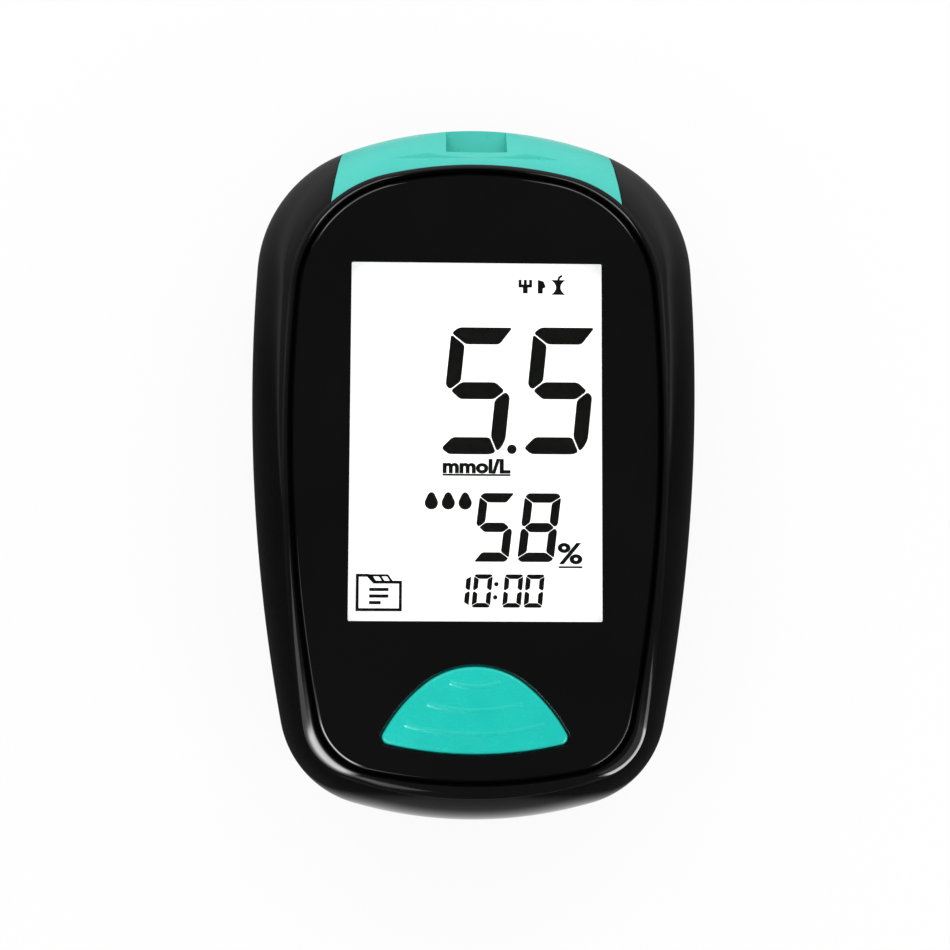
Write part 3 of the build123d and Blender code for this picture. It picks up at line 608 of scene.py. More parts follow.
@dataclass(frozen=True)
class CaseShape:
    """Driving outlines and levels of the case, shared by all that is built into it."""

    case: Outline = Outline(30.5, 12.8, 47.3, -47.3, 49.8, 58.4, 241.6, 18.7, 14.0)
    rim: Outline = Outline(25.15, 4.5, 39.2, -43.3, 51.5, 52.7, 242.0, 16.3, 8.1)
    panel: Outline = Outline(24.25, 5.5, 38.3, -41.5, 49.0, 66.0, 200.0, 16.2, 8.7)
    parting: float = 11.0  # height of the seam between the housings
    rim_base: float = 24.0  # height at which the side ends and the rim bead begins
    crest: float = 24.95  # top of the bead
    face: float = 24.6  # top of the panel
    panel_low: float = 23.1
    deck_high: float = 22.95  # the deck that carries the panel
    deck_low: float = 21.95
    full_turn: float = math.radians(60.0)  # how far the side has turned at the rim
    border_x: float = 19.2  # where the port cap's border crosses border_y
    border_y: float = 34.8
    border_lean: float = 0.11
    border_end_y: float = 31.0
    rim_undercut: float = 0.35

    def height(self, turn: float | Array) -> float | Array:
        """Height where the side has turned by an angle, on a quarter ellipse from parting to rim."""
        return self.parting + (self.rim_base - self.parting) * np.sin(turn) / math.sin(self.full_turn)

    def turn(self, height: float | Array) -> float | Array:
        """Angle that the side has turned through at a height."""
        share = (height - self.parting) / (self.rim_base - self.parting)
        return np.arcsin(share * math.sin(self.full_turn))

    def side(self, turn: float, inset: float = 0.0) -> Outline:
        """Outline of the side where it has turned by an angle."""
        share = (1 - math.cos(turn)) / (1 - math.cos(self.full_turn))
        return self.case.toward(self.rim, share).inset(inset)

    def split(self, outline: Outline, gap: float = 0.0) -> tuple[Array, Array]:
        """Cut the right half of an outline where it crosses the border of the port cap.

        Args:
            outline: the shape to cut.
            gap: how far inside the border the cut lies.

        Returns:
            The points before the border and those after it, each with the crossing point.
        """
        points = outline.half()
        back = self.border_y - np.maximum(points[:, 1], self.border_end_y)
        beyond = points[:, 0] - (self.border_x + self.border_lean * back - gap)
        index = int(np.argmax(beyond > 0))
        share = beyond[index - 1] / (beyond[index - 1] - beyond[index])
        crossing = points[index - 1] + share * (points[index] - points[index - 1])
        return np.vstack([points[:index], crossing]), np.vstack([crossing, points[index:]])


SHAPE = CaseShape()


class Surface:
    """Points and faces of one piece, gathered before its mesh is made."""

    def __init__(self) -> None:
        """Start with nothing."""
        self.points: list[Array] = []
        self.faces: list[list[int]] = []
        self.count = 0

    def add(self, points: Array, faces: Array) -> None:
        """Add points and the faces between them.

        Args:
            points: any array whose last axis is a place.
            faces: a row of corner numbers per face, counted from the first of the points.
        """
        self.faces += (faces + self.count).tolist()
        self.points.append(points.reshape(-1, 3))
        self.count += self.points[-1].shape[0]

    def grid(self, points: Array, wrap_rows: bool = False, wrap_columns: bool = False) -> None:
        """Add a grid of points, rows by columns, and its cells."""
        self.add(points, grid_faces(*points.shape[:2], wrap_rows, wrap_columns))

    def polygon(self, points: Array) -> None:
        """Add one flat face."""
        self.add(points, np.arange(len(points))[None])

    def plate(self, loops: list[Array], height: float) -> None:
        """Fill the space between an outer loop and the loops of its openings at one height.

        The triangles are a constrained Delaunay net of all the loops, and those whose middle lies
        inside an odd number of loops stay.

        Args:
            loops: closed plan loops, the outer one first.
            height: level of the plate.
        """
        starts = np.cumsum([0] + [len(loop) for loop in loops])
        edges = [(start + index, start + (index + 1) % len(loop))
                 for start, loop in zip(starts, loops) for index in range(len(loop))]
        points, _, faces, *_ = delaunay_2d_cdt([Vector(point) for loop in loops for point in loop],
                                               edges, [], 0, 1e-6)
        net = np.array([tuple(point) for point in points])
        corners = np.array(faces)
        middle = net[corners].mean(axis=1)
        inside = np.zeros(len(corners), bool)
        for loop in loops:
            after = np.roll(loop, -1, axis=0)
            crosses = (loop[:, 1] > middle[:, 1:]) != (after[:, 1] > middle[:, 1:])
            rise = np.where(after[:, 1] == loop[:, 1], 1.0, after[:, 1] - loop[:, 1])
            at = loop[:, 0] + (middle[:, 1:] - loop[:, 1]) / rise * (after[:, 0] - loop[:, 0])
            inside ^= (np.sum(crosses & (middle[:, :1] < at), axis=1) % 2).astype(bool)
        self.add(raised(net, height), corners[inside])

    def piece(self, name: str, finish: Finish, body: Body, slot: str, crease: float = 35.0,
              bevel: float = 0.0) -> bpy.types.Object:
        """Make the mesh object: merge doubles, point the faces outwards, smooth, paint and ride.

        Args:
            name: name of the piece.
            finish: what its surface is.
            body: the body that it moves with.
            slot: not used.
            crease: angle in degrees from which an edge stays sharp.
            bevel: width in millimetres of a rounding on the sharp edges.

        Returns:
            The object, at the origin.
        """
        mesh = bpy.data.meshes.new(name)
        mesh.from_pydata(np.concatenate(self.points) * MM, [], self.faces)
        work = bmesh.new()
        work.from_mesh(mesh)
        bmesh.ops.remove_doubles(work, verts=work.verts, dist=MERGE * MM)
        bmesh.ops.dissolve_degenerate(work, edges=work.edges, dist=MERGE * MM / 4)
        bmesh.ops.recalc_face_normals(work, faces=work.faces)
        work.to_mesh(mesh)
        work.free()
        mesh.shade_smooth()
        mesh.set_sharp_from_angle(angle=math.radians(crease))
        mesh.materials.append(finish.material())
        piece = placed(name, mesh)
        if bevel:
            softener = piece.modifiers.new("edge_rounding", "BEVEL")
            softener.width, softener.segments = bevel * MM, BEVEL_STEPS
            softener.limit_method, softener.angle_limit = "ANGLE", math.radians(crease)
            softener.harden_normals = False
        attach(piece, body.value)
        LOG.info("%s: %d points, %d faces, on %s", name, len(mesh.vertices), len(mesh.polygons),
                 body.value)
        return piece


def rounding(radius: float, count: int = 5) -> list[tuple[float, float]]:
    """Inset and drop of the points round an edge, from its side to its top."""
    turns = np.linspace(0.0, math.pi / 2, count)
    return [(radius * (1 - math.cos(turn)), radius * (1 - math.sin(turn))) for turn in turns]


def dress(nodes: dict[str, bpy.types.Object], finishes: dict[str, Finish]) -> None:
    """Give carried-over pieces their finishes.

    Args:
        nodes: the carried-over pieces by their names.
        finishes: the finishes by the pieces' names.
    """
    for name, finish in finishes.items():
        mesh = nodes[name].data
        mesh.materials.clear()
        mesh.materials.append(finish.material())
        LOG.info("%s: %s", name, finish.name)


# ---------------------------------------------------------------- case


@dataclass
class Case:
    """Front housing with its rim bead, and the finishes of the rear housing and what is on it."""

    shape: CaseShape = SHAPE
    cap_columns: int = 70
    side_columns: int = 190
    side_rows: int = 22
    seam: float = 0.12
    bead_foot: float = 0.5  # height of the bead's low outer wall
    bead_corner: float = 0.12
    bead_power: float = 1.5  # how the bead's slope eases off towards the panel
    bead_rows: int = 12
    lip_radius: float = 0.16
    wall: float = 2.0
    deck_width: float = 3.0
    inner_rows: int = 8

    def sections(self) -> list[tuple[Outline, float, Outline, float]]:
        """Section of the housing as rings.

        Outside, the rings climb the seam's edge, the convex side and the bead, drop down the panel's
        well to the deck, and come back along the inside of the wall. Under the port cap the outer
        rings close up against the wall that carries the rim.

        Returns:
            Outline and height of each ring, first away from the cap and then under it.
        """
        shape = self.shape
        tucked = shape.rim.inset(shape.rim_undercut)
        rings = [(shape.case.inset(inset * self.seam), shape.parting + (1 - drop) * self.seam, tucked,
                  shape.deck_low) for inset, drop in ((1.0, 1.0), (0.3, 0.7), (0.0, 0.0))]
        start = float(shape.turn(shape.parting + 3 * self.seam))
        turns = np.linspace(start, shape.full_turn, self.side_rows)
        lift = np.linspace(shape.deck_low, shape.rim_base, self.side_rows)
        rings += [(shape.side(turn), float(shape.height(turn)), tucked, height)
                  for turn, height in zip(turns, lift)]
        both = [(shape.rim, shape.rim_base)] + self.bead()
        both += [(shape.panel.inset(-inset), shape.crest - self.lip_radius + drop)
                 for drop, inset in rounding(self.lip_radius)]
        deck = shape.panel.inset(self.deck_width)
        both += [(shape.panel, shape.deck_high), (deck, shape.deck_high), (deck, shape.deck_low)]
        rings += [(outline, height, outline, height) for outline, height in both]
        for turn in np.linspace(float(shape.turn(shape.deck_low)), 0.0, self.inner_rows):
            rings.append((shape.side(turn, self.wall), float(shape.height(turn)), tucked, shape.deck_low))
        return rings

    def bead(self) -> list[tuple[Outline, float]]:
        """The rim bead: a low wall, then a broad slope that levels out at the panel's lip.

        Returns:
            Outline and height of each ring.
        """
        shape = self.shape
        foot, lip = shape.rim_base + self.bead_foot, shape.panel.inset(-self.lip_radius)
        rings = [(shape.rim.inset(inset), foot - drop)
                 for inset, drop in rounding(self.bead_corner, 7)[:-2]]
        start, low = rings[-1]
        for across in np.linspace(0.0, 1.0, self.bead_rows)[1:]:
            rings.append((start.toward(lip, across),
                          shape.crest - (shape.crest - low) * (1 - across) ** self.bead_power))
        return rings

    def build_front(self) -> bpy.types.Object:
        """Make the front housing: its rings are rows of points that close into a tube round the face.

        Returns:
            The piece.
        """
        rows = []
        for outline, height, under, under_height in self.sections():
            before, _ = self.shape.split(under)
            _, after = self.shape.split(outline)
            ahead = raised(spread(before, self.cap_columns), under_height)
            rest = raised(spread(after, self.side_columns), height)
            right = np.vstack([ahead, rest])
            rows.append(np.vstack([right, right[-2:0:-1] * [-1, 1, 1]]))
        surface = Surface()
        surface.grid(np.array(rows), wrap_rows=True, wrap_columns=True)
        piece = surface.piece("front_shell", BLACK_GLOSS, Body.METER, "black_gloss", crease=32.0)
        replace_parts(piece, "front_housing")
        return piece

    def build(self, nodes: dict[str, bpy.types.Object]) -> None:
        """Make the front and dress the carried-over pieces.

        Args:
            nodes: the carried-over pieces by their names.
        """
        self.build_front()
        dress(nodes, {"rear_housing": REAR_BLACK, "rear_label": LABEL, "case_screws": SCREW_STEEL,
                      "battery_door": REAR_BLACK})


@dataclass
class PortCap:
    """Turquoise cap over the strip port, with its thumb shelf, scoop, notch and slot."""

    shape: CaseShape = SHAPE
    gap: float = 0.1
    shelf_height: float = 22.3
    shelf_y: float = 40.1
    shelf_back_radius: float = 130.0
    wall_slope: float = 0.55
    scoop_y: float = 40.8
    scoop_slope: float = math.radians(48.0)
    scoop_radius: float = 50.0
    notch_half_width: float = 4.1
    notch_y: float = 41.8
    floor: float = 16.0
    slot_half_width: float = 3.85
    slot_high: float = 17.4
    slot_end_y: float = 39.2
    foot_break: float = 0.1  # edge break at the seam
    edge_break: float = 0.12  # rounding of the other edges
    section_count: int = 60
    shoulder_columns: int = 70
    notch_columns: int = 24
    crowding: float = 1.15  # draws the shoulder's columns together beside the notch
    rim_rows: int = 8
    wall_rows: int = 4
    shelf_rows: int = 14
    lip_rows: int = 3
    notch_rows: int = 12
    slot_rows: int = 4
    foot_rows: int = 10

    def columns(self) -> list[tuple[float, float, Part]]:
        """The cap's columns from left to right.

        Returns:
            For each its share of the way out to the border, its place before that, and its stretch.
        """
        out = np.linspace(1, 0, self.shoulder_columns) ** self.crowding
        right = [(share, self.notch_half_width, Part.SHOULDER) for share in out[::-1]]
        left = [(share, -self.notch_half_width, Part.SHOULDER) for share in out]
        beside = [(0.0, x, Part.NOTCH) for x in (self.notch_half_width, self.slot_half_width)]
        middle = [(0.0, float(x), Part.SLOT)
                  for x in np.linspace(-self.slot_half_width, self.slot_half_width, self.notch_columns)]
        return left + [(share, -x, part) for share, x, part in beside] + middle + beside[::-1] + right

    def plan_point(self, half: Array, share: float, x: float) -> Array:
        """Point of an outline on a column.

        Args:
            half: the outline up to the border.
            share: share of the way out to the border.
            x: place before that.

        Returns:
            The point in the plan.
        """
        edge = half[-1, 0]
        across = abs(x) + share * (edge - abs(x))
        return np.array([math.copysign(across, x), float(np.interp(across, half[:, 0], half[:, 1]))])

    def scooped(self, points: Array) -> Array:
        """Lower the points that lie above the scoop, a wide trough that falls away from the shelf.

        Args:
            points: points of the cap.

        Returns:
            The points, none of them above the scoop.
        """
        rise = self.scoop_radius - np.sqrt(self.scoop_radius**2 - points[:, 0] ** 2)
        trough = (self.shelf_height - math.tan(self.scoop_slope) * (points[:, 1] - self.scoop_y)
                  + rise / math.cos(self.scoop_slope))
        heights = np.where(points[:, 1] > self.scoop_y, np.minimum(points[:, 2], trough), points[:, 2])
        return np.column_stack([points[:, :2], heights])

    def column(self, share: float, x: float, part: Part, halves: list[Array], turns: Array,
               back: Array) -> Array:
        """One column of points, once around the cap's section.

        It comes down the side from the rim, steps down to the thumb shelf, drops into the notch, goes
        into the slot and out again, runs on down the side, and returns along the underside and the
        inner wall. Where the column misses the shelf, the notch or the slot, those points stay on the
        side, so that every column has as many.

        Args:
            share: the column's share of the way out to the border.
            x: its place beside the middle, before that share is added.
            part: which stretch of the cap it runs down.
            halves: outlines of the side up to the border, one for each turn.
            turns: the angles of those outlines, from the parting plane up.
            back: outline of the inner wall up to the border.

        Returns:
            The points in order.
        """
        shape = self.shape
        plan = np.array([self.plan_point(half, share, x) for half in halves])
        heights = np.asarray(shape.height(turns))
        top = shape.rim_base - self.gap / 2

        def run(start: float, stop: float, count: int) -> Array:
            """Points of the side between two heights."""
            levels = np.linspace(start, stop, count)
            return np.stack([*(np.interp(levels, heights, line) for line in plan.T), levels], axis=1)

        def at_height(level: float) -> Array:
            """Point of the side at one height."""
            return run(level, level, 1)[0]

        sag = self.shelf_back_radius - np.sqrt(self.shelf_back_radius**2 - plan[:, 0] ** 2)
        back_y = self.shelf_y + sag
        shelf_top = max(float(np.interp(0.0, back_y - plan[:, 1], heights)), self.shelf_height)
        edge, lip = at_height(shelf_top), at_height(self.shelf_height)
        foot_y = edge[1] + self.wall_slope * (shelf_top - self.shelf_height)
        foot = np.array([edge[0], foot_y, self.shelf_height])
        notch_top = min(float(np.interp(-self.notch_y, -plan[:, 1], heights)), self.shelf_height)
        lines = [run(top, shelf_top, self.rim_rows), np.linspace(edge, foot, self.wall_rows),
                 np.linspace(foot, lip, self.shelf_rows),
                 run(self.shelf_height, notch_top, self.lip_rows)]
        if part is Part.SHOULDER:
            lines += [run(notch_top, self.slot_high, self.notch_rows),
                      run(self.slot_high, self.slot_high, self.slot_rows),
                      run(self.slot_high, self.floor, self.slot_rows),
                      run(self.floor, self.floor, 2 * self.slot_rows)]
        else:
            column_x = at_height(notch_top)[0]
            top_edge = self.scooped(np.array([[column_x, self.notch_y, notch_top]]))[0, 2]
            deep_y = self.slot_end_y if part is Part.SLOT else self.notch_y
            stops = [np.array([column_x, y, level]) for y, level in (
                (self.notch_y, top_edge), (self.notch_y, self.slot_high), (deep_y, self.slot_high),
                (deep_y, self.floor), (self.notch_y, self.floor))] + [at_height(self.floor)]
            counts = (self.notch_rows, *[self.slot_rows] * 4)
            lines += [np.linspace(*ends) for ends in zip(stops, stops[1:], counts)]
        lines.append(run(self.floor, shape.parting + self.foot_break, self.foot_rows))
        under = lines[-1][-1] - [0, self.foot_break, self.foot_break]
        inner = self.plan_point(back, share, x)
        lines.append(np.array([under, (*inner, shape.parting), (*inner, top)]))
        return self.scooped(np.vstack(lines))

    def build(self, nodes: dict[str, bpy.types.Object]) -> None:
        """Make the cap as a grid of columns, close its two ends, and dress what lies behind it.

        Args:
            nodes: the carried-over pieces by their names.
        """
        shape = self.shape
        turns = np.linspace(0.0, shape.full_turn, self.section_count)
        halves = [shape.split(shape.side(turn), self.gap)[0] for turn in turns]
        back = shape.split(shape.rim.inset(shape.rim_undercut - self.gap), self.gap)[0]
        columns = [self.column(*column, halves, turns, back) for column in self.columns()]
        surface = Surface()
        surface.grid(np.array(columns), wrap_columns=True)
        for end in (columns[0], columns[-1]):
            surface.polygon(end)
        # The cap's finish carries a painted sheen in its paler colour.
        piece = surface.piece("turquoise_port_cap", TURQUOISE_PAINTED_SHEEN, Body.METER, "turquoise", crease=28.0,
                              bevel=self.edge_break)
        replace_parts(piece, "port_cap")
        dress(nodes, {"strip_connector": IVORY, "connector_contacts": GOLD})


# ---------------------------------------------------------------- face, window and button


def rounded_box(half_x: float, half_y: float, radius: float, middle_y: float, count: int = 9) -> Array:
    """Plan loop of a rectangle with rounded corners.

    Args:
        half_x: half its width.
        half_y: half its length.
        radius: radius of its corners.
        middle_y: where its middle lies.
        count: how many points a corner has.

    Returns:
        The loop, clockwise from its top right corner.
    """
    x, y, quarter = half_x - radius, half_y - radius, math.pi / 2
    corners = ((x, y, quarter), (x, -y, 0.0), (-x, -y, -quarter), (-x, y, -2 * quarter))
    return np.concatenate([arc(np.array([x, y + middle_y]), radius, start, start - quarter, count)
                           for x, y, start in corners])


@dataclass(frozen=True)
class HalfMoon:
    """Plan shape of the button: crown arc, two flanks, tight corners and a shallow bottom arc."""

    top_y: float = -26.53
    bottom_y: float = -37.58
    crown_radius: float = 10.4
    crown_turn: float = math.radians(39.0)
    flank_radius: float = 21.0
    bottom_radius: float = 50.0
    corner_radius: float = 0.9
    crowding: float = 2.5  # mm of outline that one radian of turning counts for

    def loop(self, grow: float = 0.0, count: int = 240) -> Array:
        """The outline grown all round: the same centres, and longer radii.

        Args:
            grow: how much is added to each radius.
            count: how many points its right half has.

        Returns:
            The loop, clockwise from its top centre.
        """
        crown = np.array([0.0, self.top_y - self.crown_radius])
        shift = self.flank_radius - self.crown_radius
        flank = crown - shift * np.array([math.sin(self.crown_turn), math.cos(self.crown_turn)])
        bottom = np.array([0.0, self.bottom_y + self.bottom_radius])
        corner = meet(flank, self.flank_radius - self.corner_radius, bottom,
                      self.bottom_radius - self.corner_radius, np.array([1.0, 0.0]))
        circles = ((crown, self.crown_radius + grow), (flank, self.flank_radius + grow),
                   (corner, self.corner_radius + grow), (bottom, self.bottom_radius + grow))
        half = chain(circles, [math.pi / 2, math.pi / 2 - self.crown_turn, bearing(flank, corner),
                               bearing(bottom, corner), -math.pi / 2])
        return mirrored(spread(half, count, self.crowding))


@dataclass
class Button:
    """Turquoise push button: domed half-moon with three curved grip ridges, a collar and a stem."""

    plan: HalfMoon = HalfMoon()
    middle_y: float = -32.9
    edge_foot: float = 24.2
    edge_top: float = 24.98
    edge_radius: float = 0.4
    dome: float = 0.14
    collar_high: float = 21.85
    collar_low: float = 21.05
    collar_width: float = 0.8
    stem_low: float = 19.5
    stem_radius: float = 1.9
    stem_y: float = -31.8
    ridges: tuple[tuple[float, float, float], ...] = (
        (3.04, -28.6, 0.44), (5.85, -31.3, 0.77), (8.63, -33.88, 1.17))  # half length, y of the ends, sag
    ridge_width: float = 0.8
    ridge_height: float = 0.11
    edge_rows: int = 8
    rows: int = 100

    def ridge_lift(self, plan: Array) -> Array:
        """Height of the ridges, a squared cosine of the distance to each sagging arc.

        Args:
            plan: plan points.

        Returns:
            The height at each point.
        """
        lift = np.zeros(plan.shape[:-1])
        for half_length, end_y, sag in self.ridges:
            radius = (half_length**2 + sag**2) / (2 * sag)
            centre = np.array([0.0, end_y - sag + radius])
            offset = plan - centre
            ends = np.hypot(np.abs(plan[..., 0]) - half_length, plan[..., 1] - end_y)
            along = np.hypot(offset[..., 0], offset[..., 1]) - radius
            within = (np.abs(plan[..., 0]) < half_length) & (offset[..., 1] < 0)
            distance = np.where(within, np.abs(along), ends)
            share = np.clip(distance / (self.ridge_width / 2), 0, 1)
            lift = np.maximum(lift, self.ridge_height * np.cos(share * math.pi / 2) ** 2)
        return lift

    def build(self, nodes: dict[str, bpy.types.Object]) -> None:
        """Make the button: loops that shrink to the middle, lifted by dome and ridges, and its foot.

        Args:
            nodes: the carried-over pieces by their names.
        """
        surface = Surface()
        count = self.plan.loop().shape[0]
        middle = np.array([0.0, self.middle_y])
        rows = [raised(self.plan.loop(grow), height) for grow, height in (
            (self.collar_width, self.collar_low), (self.collar_width, self.collar_high),
            (0.0, self.collar_high), (0.0, self.edge_foot))]
        rows += [raised(self.plan.loop(-inset), self.edge_top - drop)
                 for inset, drop in rounding(self.edge_radius, self.edge_rows)]
        inner = self.plan.loop(-self.edge_radius)
        for share in np.linspace(1.0, 0.0, self.rows)[1:-1]:
            plan = middle + (inner - middle) * share
            lift = self.dome * (1 - share**2) + self.ridge_lift(plan)
            rows.append(raised(plan, self.edge_top + lift))
        surface.grid(np.array(rows), wrap_columns=True)
        tip = np.array([[*middle, self.edge_top + self.dome + float(self.ridge_lift(middle))]])
        corners = np.arange(count)
        fan = np.stack([corners, (corners + 1) % count, np.full(count, count)], axis=1)
        surface.add(np.vstack([rows[-1], tip]), fan)
        stem = np.array([0.0, self.stem_y])
        heading = np.array([bearing(stem, point) for point in self.plan.loop(self.collar_width)])
        ring = stem + self.stem_radius * np.stack([np.cos(heading), np.sin(heading)], axis=1)
        surface.grid(np.array([rows[0], raised(ring, self.collar_low), raised(ring, self.stem_low)]),
                     wrap_columns=True)
        surface.polygon(raised(ring, self.stem_low))
        piece = surface.piece("half_moon_button", TURQUOISE_BUTTON, Body.BUTTON, "turquoise",
                              crease=60.0)
        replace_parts(piece, "main_button")
        dress(nodes, {"switch_plunger": SWITCH_BLACK, "switch_body": SWITCH_BLACK})


@dataclass
class FacePanel:
    """Glossy black panel in the rim, with its openings, and the clear window in it."""

    shape: CaseShape = SHAPE
    button: HalfMoon = HalfMoon()
    fit: float = 0.1
    edge_radius: float = 0.85
    edge_rows: int = 14
    edge_count: int = 170  # points of the outer edge
    window_half: tuple[float, float] = (16.35, 23.36)
    window_y: float = 2.6
    window_radius: float = 0.2
    window_undercut: float = 0.45
    window_edge: float = 0.05  # edge break of the window and of the opening round it
    lens_gap: float = 0.02
    button_gap: float = 0.3
    hole_radius: float = 0.06

    def window_loop(self, inset: float) -> Array:
        """Outline of the window moved inwards by one distance."""
        return rounded_box(self.window_half[0] - inset, self.window_half[1] - inset, self.window_radius,
                           self.window_y)

    def outer_loop(self, inset: float) -> Array:
        """Outline of the panel moved inwards by one distance."""
        return self.shape.panel.inset(self.fit + inset).loop(self.edge_count)

    def window_hole(self, grow: float) -> Array:
        """Outline of the opening for the window, grown by one distance."""
        return self.window_loop(-grow)

    def button_hole(self, grow: float) -> Array:
        """Outline of the opening for the button, grown by one distance."""
        return self.button.loop(self.button_gap + grow)

    def build_panel(self) -> None:
        """Make the panel: a strip round each edge, and a flat net between them on top and below."""
        shape = self.shape
        surface, tops, bottoms = Surface(), [], []
        for loop, radius, foot in ((self.outer_loop, self.edge_radius, 0.0),
                                   (self.window_hole, self.window_edge, self.window_undercut),
                                   (self.button_hole, self.hole_radius, 0.0)):
            rows = [raised(loop(foot), shape.panel_low)]
            rows += [raised(loop(inset), shape.face - drop)
                     for inset, drop in rounding(radius, self.edge_rows)]
            surface.grid(np.array(rows), wrap_columns=True)
            bottoms.append(rows[0][:, :2])
            tops.append(rows[-1][:, :2])
        surface.plate(tops, shape.face)
        surface.plate(bottoms, shape.panel_low)
        piece = surface.piece("black_face_panel", PANEL_BLACK, Body.METER, "panel_black", crease=50.0)
        flatten_levels(piece)
        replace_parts(piece, "face_panel")

    def build_lens(self) -> None:
        """Make the window: a clear slab with a fine edge break, flush with the panel."""
        surface, shape = Surface(), self.shape
        rows = [raised(self.window_loop(self.lens_gap - self.window_undercut), shape.panel_low)]
        rows += [raised(self.window_loop(self.lens_gap + inset), shape.face - drop)
                 for inset, drop in rounding(self.window_edge)]
        surface.grid(np.array(rows), wrap_columns=True)
        surface.polygon(rows[-1])
        surface.polygon(rows[0][::-1])
        piece = surface.piece("clear_display_window", WINDOW, Body.METER, "window_clear", crease=50.0)
        flatten_levels(piece)
        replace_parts(piece, "display_lens")

    def build(self, nodes: dict[str, bpy.types.Object]) -> None:
        """Make the panel and the window, and dress the tape under them.

        Args:
            nodes: the carried-over pieces by their names.
        """
        self.build_panel()
        self.build_lens()
        dress(nodes, {"panel_tape": TAPE})


def flatten_levels(piece: bpy.types.Object) -> None:
    """Shade the level faces of a piece flat, so that the long triangles in them don't show.

    Args:
        piece: the piece.
    """
    faces = piece.data.polygons
    normals = np.zeros(3 * len(faces))
    faces.foreach_get("normal", normals)
    faces.foreach_set("use_smooth", np.abs(normals[2::3]) <= LEVEL)


# ---------------------------------------------------------------- display


@dataclass(frozen=True)
class Figure:
    """One size of seven-bar figure that leans to the right, in millimetres."""

    width: float
    height: float
    side: float  # width of the upright bars
    level: float  # width of the level bars
    corner: float  # cut off the outer corners
    joint: float  # from an outer corner down to where the gap between its two bars comes out
    tip: float  # from the outer side in to the tips of the middle bar
    gap: float  # from a bar's edge to the middle of the gap beside it
    soft: float  # rounding of a bar's corners
    lean: float = 0.0875
    heeled: bool = False  # whether the lower right bar comes down beside the bottom bar to a heel
    soft_share: float = 0.4  # the most of a side that a rounding takes
    soft_steps: tuple[float, ...] = (0.0, 0.3, 0.7, 1.0)

    LIT = {"0": "abcdef", "1": "bc", "5": "afgcd", "8": "abcdefg"}

    def upright(self) -> Array:
        """The upper left bar.

        Returns:
            Its corners.
        """
        middle = self.height / 2
        return np.array([(0, middle + self.tip), (self.tip, middle),
                         (self.side, middle + self.level / 2), (self.side, self.height - self.level),
                         (0, self.height - self.joint)])

    def lying(self, left_lit: bool, right_lit: bool) -> Array:
        """The top bar, whose end is a plain slant where the bar beside it is dark.

        Args:
            left_lit: whether the bar at its left end is lit.
            right_lit: whether the one at its right end is.

        Returns:
            Its corners.
        """
        foot = self.height - self.level
        right = [(self.width, self.height - self.joint)] if right_lit else []
        left = [(0, self.height - self.joint)] if left_lit else []
        ends = [self.corner if lit else self.corner / 2 for lit in (right_lit, left_lit)]
        return np.array([(self.side, foot), (self.width - self.side, foot), *right,
                         (self.width - ends[0], self.height), (ends[1], self.height), *left])

    def bars(self, digit: str) -> list[Array]:
        """The lit bars of one digit.

        Args:
            digit: the digit.

        Returns:
            Outline of each lit bar, with the lower left corner of the digit at the origin.
        """
        lit = self.LIT[digit]
        across, below = np.array([-1, 1]), np.array([1, -1])
        size = np.array([self.width, self.height])
        upright, middle = self.upright(), self.height / 2
        low, high = middle - self.level / 2, middle + self.level / 2
        inner = self.width - self.side
        flat = np.array([(self.tip, middle), (self.side, low), (inner, low),
                         (self.width - self.tip, middle), (inner, high), (self.side, high)])
        shapes = {"f": upright, "b": (upright * across + [size[0], 0])[::-1],
                  "e": (upright * below + [0, size[1]])[::-1], "c": size - upright, "g": flat,
                  "a": self.lying("f" in lit, "b" in lit),
                  "d": (self.lying("e" in lit, "c" in lit) * below + [0, size[1]])[::-1]}
        if self.heeled:
            shapes |= self.heel(shapes["c"])
        return [self.finished(shapes[name]) for name in lit]

    def heel(self, lower: Array) -> dict[str, Array]:
        """The lower right bar with a curved heel, and beside it the bottom bar with a blunt toe.

        Their corners are shares of the two bar widths.

        Args:
            lower: the plain lower right bar.

        Returns:
            Both bars by their letters.
        """
        out, foot = self.width, self.level
        curve = np.array([(out - 0.5 * self.side, 0.14 * foot), (out - 0.2 * self.side, 0.42 * foot),
                          (out, 0.86 * foot)])
        sole = np.array([(0.66 * self.side, 0), (out - 0.88 * self.side, 0),
                         (out - 0.5 * self.side, 0.14 * foot), (out - self.side, foot),
                         (0.78 * self.side, foot), (0.13 * self.side, 0.36 * foot)])
        return {"c": np.vstack([lower[:-1], curve]), "d": sole}

    def finished(self, loop: Array) -> Array:
        """Draw a bar in by the gap, round its corners and lean it.

        Each corner becomes a short curve between points at one distance on both of its sides, at most
        two fifths of a side away.

        Args:
            loop: corners of the plain bar.

        Returns:
            The finished bar's outline.
        """
        after = np.roll(loop, -1, axis=0) - loop
        unit = after / np.hypot(after[:, 0], after[:, 1])[:, None]
        before = np.roll(unit, 1, axis=0)
        turned = before[:, 0] * unit[:, 1] - before[:, 1] * unit[:, 0]
        inner = loop + self.gap * (unit - before) / turned[:, None]
        forward = np.roll(inner, -1, axis=0) - inner
        length = np.hypot(forward[:, 0], forward[:, 1])
        reach = np.minimum(self.soft, self.soft_share * length)[:, None]
        start, stop = inner - before * np.roll(reach, 1), inner + unit * reach
        share = np.array(self.soft_steps)[:, None]
        curve = [(1 - share) ** 2 * first + 2 * share * (1 - share) * corner + share**2 * last
                 for first, corner, last in zip(start, inner, stop)]
        rounded = np.concatenate(curve)
        return rounded + np.stack([rounded[:, 1] * self.lean, np.zeros(len(rounded))], axis=1)


